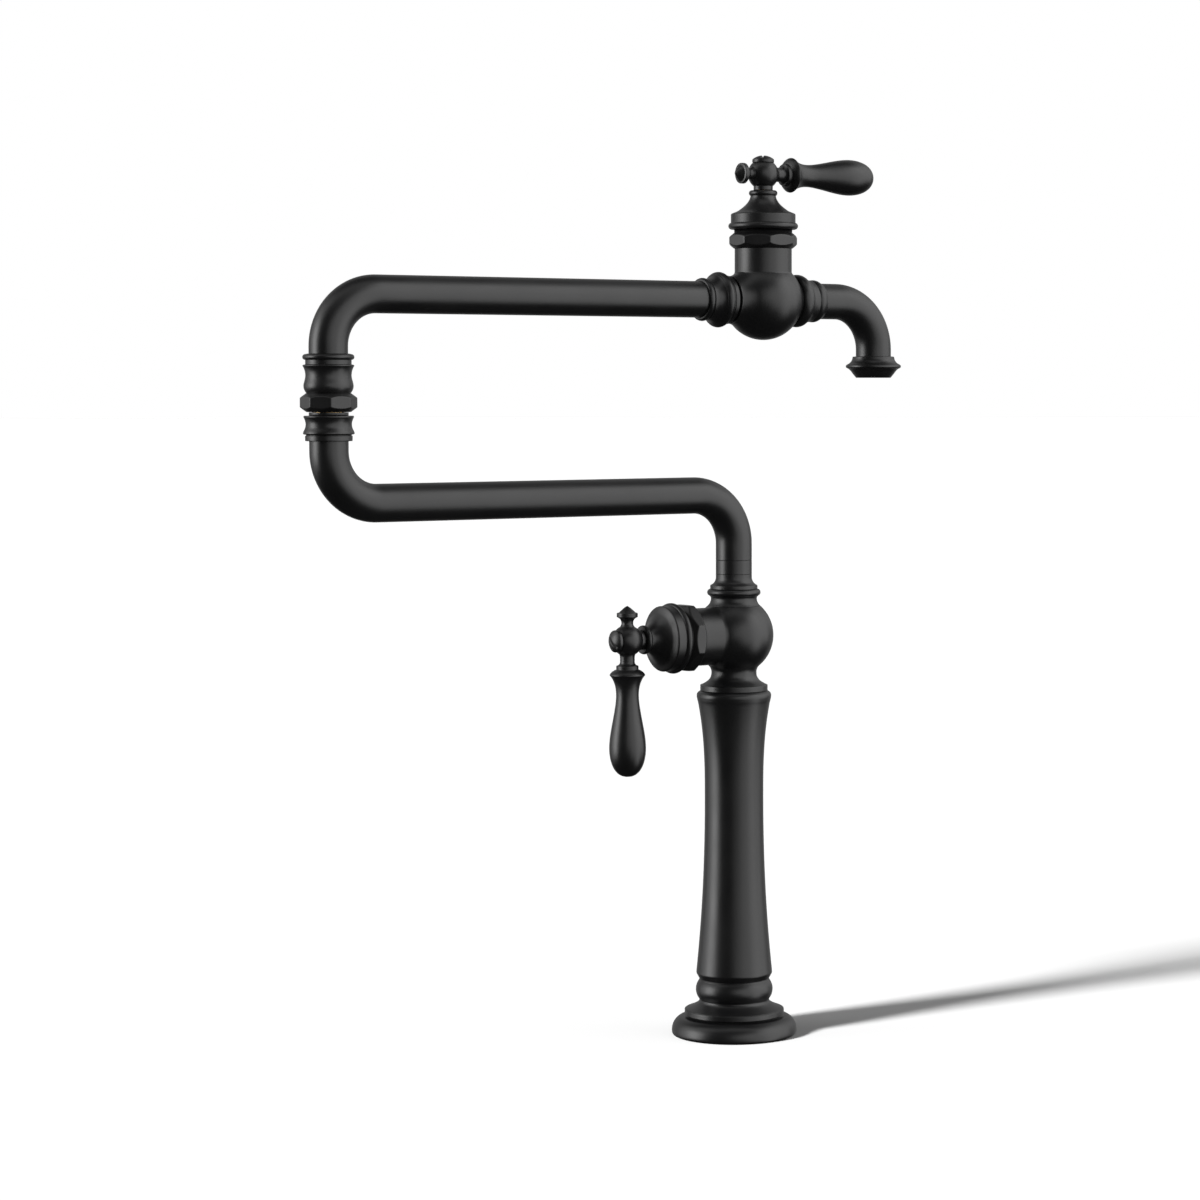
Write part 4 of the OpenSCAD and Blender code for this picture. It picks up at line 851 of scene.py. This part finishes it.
def knuckle_lower_collar():
    """The collar under the knuckle: a band, a sharp lip, a waist and a second lip."""
    shape = outline(
        corners((SOCKET, COLLAR_BOTTOM, 0.2), (12.05, COLLAR_BOTTOM, 0.4), (12.05, 336.2, 0.2),
                (11.6, 336.3), (11.6, 336.75), (12.9, 336.95, 0.2), (13.13, 337.35, 0.3)),
        smooth([(13.03, 337.9), (12.7, 338.7), (12.3, 339.5), (11.95, 340.4), (11.76, 341.4),
                (11.74, 342.2), (11.86, 343.2), (12.15, 344.2), (12.5, 345.1)], 22),
        corners((12.85, 345.75, 0.2), (12.7, NECK_BOTTOM, 0.25), (10.1, NECK_BOTTOM),
                (10.1, 348.1, 0.15), (SPINDLE_BORE, 348.1, 0.1), (SPINDLE_BORE, 341.5),
                (SOCKET, 341.5)))
    return turned("knuckle_collar_low", shape, at=AT_KNUCKLE)


def knuckle_nut():
    """The knuckle's nut: eight flats under two turned cones."""
    z = KNUCKLE_NUT
    shape = outline(
        corners((SPINDLE_BORE, z, 0.1), (11.2, z, 0.1)), line(11.4, z + 0.08, 15.7, z + 3.24, 16),
        line(15.7, z + 6.46, 11.4, z + 9.62, 16),
        corners((11.2, z + 9.68), (10.65, z + 9.68), (10.65, z + 2.2), (SPINDLE_BORE, z + 2.2)))
    return turned("knuckle_nut_cut", shape, at=AT_KNUCKLE, turns=NUT_STEPS, radius=Flats(8, 13.58))


def knuckle_upper_collar():
    """The collar over the nut: a bulge, a waist, a sharp edge, a plain band and a bead."""
    shape = outline(
        corners((SPINDLE_BORE, 353.3, 0.1), (10.6, 353.3, 0.3), (10.6, UPPER_COLLAR),
                (11.35, 358.03, 0.05)),
        smooth([(11.4, 358.1), (11.8, 358.65), (12.2, 359.4), (12.55, 360.4), (12.7, 361.4),
                (12.6, 362.6), (12.28, 363.9), (11.92, 365.3), (11.72, 366.8), (11.82, 368.3),
                (12.15, 369.8), (12.65, 371.05), (12.95, 371.55)], 40),
        corners((13.13, 371.9, 0.15), (12.9, 372.35, 0.2), (11.75, 372.6, 0.1), (11.75, 374.85)),
        bead(11.75, 13.18, 376.35, 1.48, 20),
        corners((11.7, 377.85), (10.7, UPPER_COLLAR_TOP, 0.2), (SOCKET, UPPER_COLLAR_TOP, 0.1),
                (SOCKET, 370.1), (SPINDLE_BORE, 370.1)))
    return turned("knuckle_collar_high", shape, at=AT_KNUCKLE)


build(knuckle_lower_collar, knuckle_nut, knuckle_upper_collar)


# Ferrules and outlet

def inlet_ferrule():
    """Ring, fine line, big bead, hollow taper and small bead, counted away from the ball."""
    shape = outline(
        corners((7, -5.5, 0.1), (8.7, -5.5, 0.3), (8.7, 0), (12.3, 0.03), (12.3, 1.55),
                (13.4, 1.65, 0.25), (13.4, 4.0, 0.2), (12.9, 4.1), (12.9, 4.3), (13.5, 4.4, 0.15),
                (13.5, 5.1), (14.0, 5.12)), bead(14.0, 15.3, 7.45, 2.3, 22),
        smooth([(14.0, 9.8), (13.3, 10.35), (12.6, 11.25), (12.08, 12.35), (11.72, 13.6),
                (11.5, 14.8), (11.42, 15.8)], 20), corners((11.4, 16.15, 0.1), (11.05, 16.25)),
        bead(11.1, 11.85, 18.0, 1.65, 16),
        corners((10.9, 19.75), (SOCKET, INLET_FERRULE, 0.1), (SOCKET, 11.8), (7, 11.8)))
    return turned("ferrule_in", shape, ALONG_LEFT, (VALVE_X - INLET_FACE, 0, UPPER_ARM),
                  turns=FERRULE_STEPS)


def outlet_ferrule():
    """Big ring against the ball, hollow taper and small bead, counted away from the ball."""
    shape = outline(
        corners((7, -5.5, 0.1), (8.7, -5.5, 0.3), (8.7, 0), (13.1, 0.03)),
        smooth([(13.3, 0.1), (13.9, 0.7), (14.4, 1.6), (14.65, 2.7), (14.7, 3.6), (14.55, 4.7),
                (14.15, 5.7), (13.55, 6.6)], 18), corners((13.15, 7.0, 0.1)),
        smooth([(12.85, 7.15), (12.4, 7.9), (12.05, 9.0), (11.83, 10.3), (11.72, 11.6)], 14),
        corners((11.7, 12.1, 0.1), (11.3, 12.25), (11.3, 12.6)),
        smooth([(11.45, 12.75), (11.7, 13.3), (11.82, 14.0), (11.84, 14.7), (11.72, 15.5),
                (11.4, 16.3), (10.95, 17.1), (10.5, 17.9)], 18),
        corners((10.3, OUTLET_FERRULE, 0.1), (SOCKET, OUTLET_FERRULE, 0.05), (SOCKET, 10.4),
                (7, 10.4)))
    return turned("ferrule_out", shape, ALONG_RIGHT, (VALVE_X + OUTLET_FACE, 0, UPPER_ARM),
                  turns=FERRULE_STEPS)


def outlet_bell():
    """The flared outlet: a collar, a hollow flare out to the rim, and a slanting underside."""
    shape = outline(
        corners((8.85, OUTLET_BOTTOM, 0.2), (9.9, OUTLET_BOTTOM, 0.35)),
        smooth([(10.25, 366.4), (11.15, 367.45), (12.25, 368.9), (13.2, 370.1), (14.0, 370.85),
                (14.95, 371.35), (15.45, 371.65)], 20),
        corners((15.72, 371.95, 0.2), (15.72, 372.9, 0.25)),
        smooth([(15.4, 373.2), (14.8, 373.6), (13.75, 374.2), (13.1, 374.8), (12.62, 375.4),
                (12.27, 376.05), (12.02, 376.8)], 18),
        corners((11.8, 377.95, 0.3), (SOCKET, OUTLET_TOP, 0.15), (SOCKET, 373.1), (8.4, 373.1),
                (8.4, 371.8), (8.85, 371.8)))
    return turned("outlet_flare", shape, at=(SPOUT_X, 0, 0), turns=FERRULE_STEPS)


build(inlet_ferrule, outlet_ferrule, outlet_bell)


# Handles

def hub(name, turn, at):
    """The ball that carries the lever, on a short neck, with its flat top under the screw."""
    shape = outline(
        corners((4.05, -8.9), (5.34, -8.9, 0.2), (5.34, -6.7, 0.5)),
        arc(0, 0, HUB, -49.5, 44.6, 44),
        corners((6.02, 6.1, 0.15), (2.45, 6.1), (2.45, 2.65), (4.05, 2.65)))
    return turned(name, shape, turn, at)


def cap_screw(name, turn, at):
    """A domed screw head with a straight slot. The head's top is a height over chords across the
    slot, z = foot + rise - R + sqrt(R^2 - u^2 - v^2), lowered to the slot's floor between its two
    walls and by a rounded lip beside them. u runs across the slot and v along it."""
    foot = 6.1
    body = turned(name, corners((0, -4.8), (2.4, -4.8, 0.3), (2.4, foot), (5.6, foot, 0.2),
                                (6.05, 6.5, 0.2), (6.05, 8.1, 0.25), (5.5, 8.15), (0, 8.15)),
                  turn, at, closed=False)
    rim, rise, dome = 5.92, 4.25, 9.447
    slot_depth, slot, lip, lip_width, lip_depth, under = 1.5, 0.745, 0.95, 0.16, 0.12, 7.6
    slot_turn, along = np.radians(-45), 61
    wall = np.array([0.75, 0.76, 0.79, 0.86, lip])
    slope = lip + (rim - lip) * np.sin(np.linspace(0.06, 1, 15) * np.pi / 2)
    across = np.concatenate([np.linspace(-1, 1, 9) * 0.74, wall, -wall, slope, -slope])
    u = np.unique(np.round(across, 5))[:, None]
    v = np.sqrt(np.maximum(rim**2 - u**2, 0)) * np.linspace(-1, 1, along)[None, :]
    u = np.repeat(u, along, axis=1)
    z = rise - dome + np.sqrt(dome**2 - u**2 - v**2)
    z = z - lip_depth * np.clip((lip - np.abs(u)) / lip_width, 0, 1)**2 * (np.abs(u) > slot)
    z = np.where(np.abs(u) < slot, np.minimum(z, rise - slot_depth), z) + foot
    x = u * np.cos(slot_turn) - v * np.sin(slot_turn)
    y = u * np.sin(slot_turn) + v * np.cos(slot_turn)
    top = np.stack([x, y, z], axis=-1)
    underside = np.stack([x, y, np.full_like(z, under)], axis=-1)[:, ::-1]
    shell = np.concatenate([top, underside], axis=1)
    poles, shell = shell[[0, -1]].mean(axis=1), shell[1:-1]
    head = grid_mesh("head", placed(shell, turn, at), False, placed(poles, turn, at),
                     np.zeros(len(shell)))
    return joined(name, [body, head])


def finial(name, turn, at):
    """A small turned knob opposite the lever: stalk, rim and a blunt cone."""
    shape = outline(
        corners((0, 4.7), (2.6, 4.7), (2.6, 6.2), (4.25, 6.6)),
        smooth([(4.3, 7.2), (3.75, 7.95), (3.35, 8.7), (3.2, 9.6), (3.27, 10.3), (3.41, 10.85),
                (3.66, 11.4), (4.1, 11.95), (4.77, 12.5), (5.3, 12.8)], 26),
        corners((5.72, 12.95, 0.25), (5.72, 15.15, 0.3), (4.75, 15.35, 0.1)),
        smooth([(4.4, 15.5), (4.0, 15.95), (3.6, 16.35), (3.07, 16.8), (2.47, 17.35),
                (1.84, 17.88), (1.1, 18.42), (0.5, 18.8), (0.1, 18.97)], 22), corners((0, 19.0)))
    return turned(name, shape, turn, at, closed=False, turns=SMALL_STEPS)


def lever(name, turn, at):
    """The turned grip: neck, ring, flange and a long pear, from the ball to the tip."""
    shape = outline(
        corners((0, 4.7), (2.6, 4.7), (2.6, 6.0), (4.5, 6.5)),
        smooth([(4.65, 7.05), (4.25, 7.75), (4.05, 8.5), (4.0, 9.3), (4.0, 10.6), (4.02, 11.7),
                (4.2, 12.45), (4.66, 13.0), (5.3, 13.4)], 26),
        corners((6.08, 13.65, 0.22), (6.08, 15.62, 0.12)),
        smooth([(6.4, 15.8), (7.0, 16.05), (7.6, 16.4), (8.3, 16.85), (8.9, 17.4), (9.35, 17.95),
                (9.6, 18.35)], 16), corners((9.72, 18.72, 0.2)),
        smooth([(9.5, 19.05), (9.07, 19.5), (8.35, 20.55), (7.7, 21.85), (7.1, 23.4), (6.62, 25.2),
                (6.32, 27.2), (6.19, 29.5), (6.35, 33.0), (6.95, 37.4), (7.8, 42.3), (8.64, 46.8),
                (9.36, 51.0), (9.86, 55.0), (10.03, 58.6), (9.86, 61.9), (9.32, 65.1), (8.4, 68.0),
                (7.1, 70.5), (5.55, 72.3), (3.8, 73.5), (1.9, 74.12), (0.5, 74.29)], 110),
        corners((0, 74.3)))
    return turned(name, shape, turn, at, closed=False)


HANDLES = {
    "lower": (TURNED_HANDLE, (-HUB_CENTRE, 0, LOWER_BALL)),
    "upper": (UPRIGHT, (VALVE_X, 0, UPPER_ARM + HUB_CENTRE)),
}
for side, (turn, at) in HANDLES.items():
    stand_for(hub(side + "_ball", turn, at), side + "_hub")
    stand_for(cap_screw(side + "_screw_head", turn, at), side + "_cap_screw")
    stand_for(lever(side + "_grip", ALONG_RIGHT @ turn, at), side + "_lever")
    stand_for(finial(side + "_knob", ALONG_LEFT @ turn, at), side + "_finial")


# Set: floor, light and camera

CAMERA_AZIMUTH = 234.5  # degrees from +X towards +Y, as seen from the object

# Degrees right of the camera, elevation, half width, half height, softness of the edge, strength
SOFTBOXES = (
    (-78.0, 7.0, 15.0, 21.0, 0.35, 5.8),
    (-106.0, 10.0, 14.0, 30.0, 0.35, 1.3),
    (-80.0, 46.0, 16.0, 14.0, 0.35, 1.1),
    (14.0, 12.0, 14.0, 18.0, 0.4, 1.15),
    (44.0, 8.0, 18.0, 30.0, 0.35, 1.6),
    (76.0, 10.0, 16.0, 44.0, 0.3, 2.35),
    (106.0, 20.0, 16.0, 34.0, 0.35, 1.75),
    (135.0, 30.0, 14.0, 24.0, 0.4, 0.5),
    (0.0, 76.0, 30.0, 14.0, 0.4, 0.7),
    (180.0, 12.0, 52.0, 40.0, 0.4, 0.35),
)
ROOM = 0.02  # strength of the dim room between the softboxes
ROOM_SHEEN = 0.01  # added to that in reflections


def softbox(tree, ray, right_of_camera, elevation, half_width, half_height, edge, strength):
    """A rectangular softbox far away. With c the direction to its centre, r to its right and u
    up, a ray d meets it where |d.r / d.c| and |d.u / d.c| are under the half sizes."""
    az, el = np.radians(CAMERA_AZIMUTH + right_of_camera), np.radians(elevation)
    c = (np.cos(el) * np.cos(az), np.cos(el) * np.sin(az), np.sin(el))
    r = (-np.sin(az), np.cos(az), 0.0)
    u = (-np.sin(el) * np.cos(az), -np.sin(el) * np.sin(az), np.cos(el))

    def along(axis):
        return node(tree, "VectorMath", set_operation="DOT_PRODUCT", i0=ray,
                    i1=axis).outputs["Value"]

    facing = maths(tree, "MAXIMUM", along(c), 0.001)
    light = strength
    for axis, half in ((r, np.tan(np.radians(half_width))), (u, np.tan(np.radians(half_height)))):
        across = maths(tree, "ABSOLUTE", maths(tree, "DIVIDE", along(axis), facing))
        shade = node(tree, "MapRange", set_interpolation_type="SMOOTHSTEP", Value=across,
                     From_Min=half * (1 - edge), From_Max=half * (1 + edge), To_Min=1.0,
                     To_Max=0.0)
        light = maths(tree, "MULTIPLY", shade.outputs["Result"], light)
    return light


def seen_straight(path):
    """1 for the rays that the camera sees directly or through glass, otherwise 0."""
    return maths(path.id_data, "MAXIMUM", path.outputs["Is Camera Ray"],
                 path.outputs["Is Transmission Ray"])


def surroundings():
    """White for the camera and through glass. The object itself is lit by a dim room with
    softboxes: a strong one on the left, broad ones on the right, and weak ones in front,
    overhead and behind. The ray's direction is the world's Generated coordinate."""
    world = bpy.data.worlds.new("studio")
    bpy.context.scene.world = world
    world.use_nodes = True
    tree = world.node_tree
    ray = node(tree, "TexCoord").outputs["Generated"]
    path = node(tree, "LightPath")
    light = maths(tree, "MULTIPLY", path.outputs["Is Glossy Ray"], ROOM_SHEEN)
    light = maths(tree, "ADD", light, ROOM)
    for box in SOFTBOXES:
        light = maths(tree, "ADD", softbox(tree, ray, *box), light)
    strength = node(tree, "Mix", set_data_type="FLOAT", i0=seen_straight(path), i2=light,
                    i3=1.0).outputs[0]
    tree.links.new(strength, tree.nodes["Background"].inputs["Strength"])
    tree.nodes["Background"].inputs["Color"].default_value = (1, 1, 1, 1)


def pale_floor():
    """A matt floor that comes out white under the key light. The light it bounces back at the
    object is that of a darker floor, so that the undersides stay dark."""
    m, tree, shader = finish("pale_floor", specular=0.0)
    bounced, seen = (0.12, 0.12, 0.12, 1), (0.265, 0.265, 0.265, 1)
    straight = seen_straight(node(tree, "LightPath"))
    tree.links.new(blend_colour(tree, straight, bounced, seen), shader.inputs["Base Color"])
    shader.inputs["Roughness"].default_value = 0.9
    return m


def floor():
    """A wide flat disc on the deck plane, in rings about the column. Its hole is under the foot,
    where the shank goes through the deck."""
    hole, reach, rings, steps = 24.0, 30000.0, 16, 64
    a = around(steps)
    r = np.geomspace(hole, reach, rings)[:, None]
    p = np.stack([r * np.cos(a), r * np.sin(a), np.zeros((rings, steps))], axis=-1)
    obj = grid_mesh("floor", p, False, None, np.zeros(rings))
    obj.data.materials.append(pale_floor())
    obj.visible_glossy = False
    return obj


def shadow_light(ground):
    """A low key light from -X, on the floor alone, for the object's long shadow."""
    elevation, azimuth = 28, 182
    light = bpy.data.lights.new("key", "SUN")
    light.energy, light.angle = 21.0, np.radians(9.5)
    obj = bpy.data.objects.new("key", light)
    bpy.context.scene.collection.objects.link(obj)
    obj.rotation_euler = (0, np.radians(90 - elevation), np.radians(azimuth))
    lit = bpy.data.collections.new("lit_by_key")
    lit.objects.link(ground)
    obj.light_linking.receiver_collection = lit


def camera():
    """The photograph's camera, with its tilt down and its turn round in degrees."""
    down, turned_round = 2.665, 35.51
    data = bpy.data.cameras.new("camera")
    data.lens, data.sensor_width = 99.0, 36.0
    data.shift_x, data.shift_y = -0.1715, -0.0551
    data.clip_start, data.clip_end = 0.01, 50.0
    obj = bpy.data.objects.new("camera", data)
    bpy.context.scene.collection.objects.link(obj)
    obj.location = (-1.0307, -1.5133, 0.3645)
    obj.rotation_euler = (np.radians(90 - down), 0, np.radians(-turned_round))
    bpy.context.scene.camera = obj


shadow_light(floor())
surroundings()
camera()

bpy.context.scene.view_settings.view_transform = "Standard"
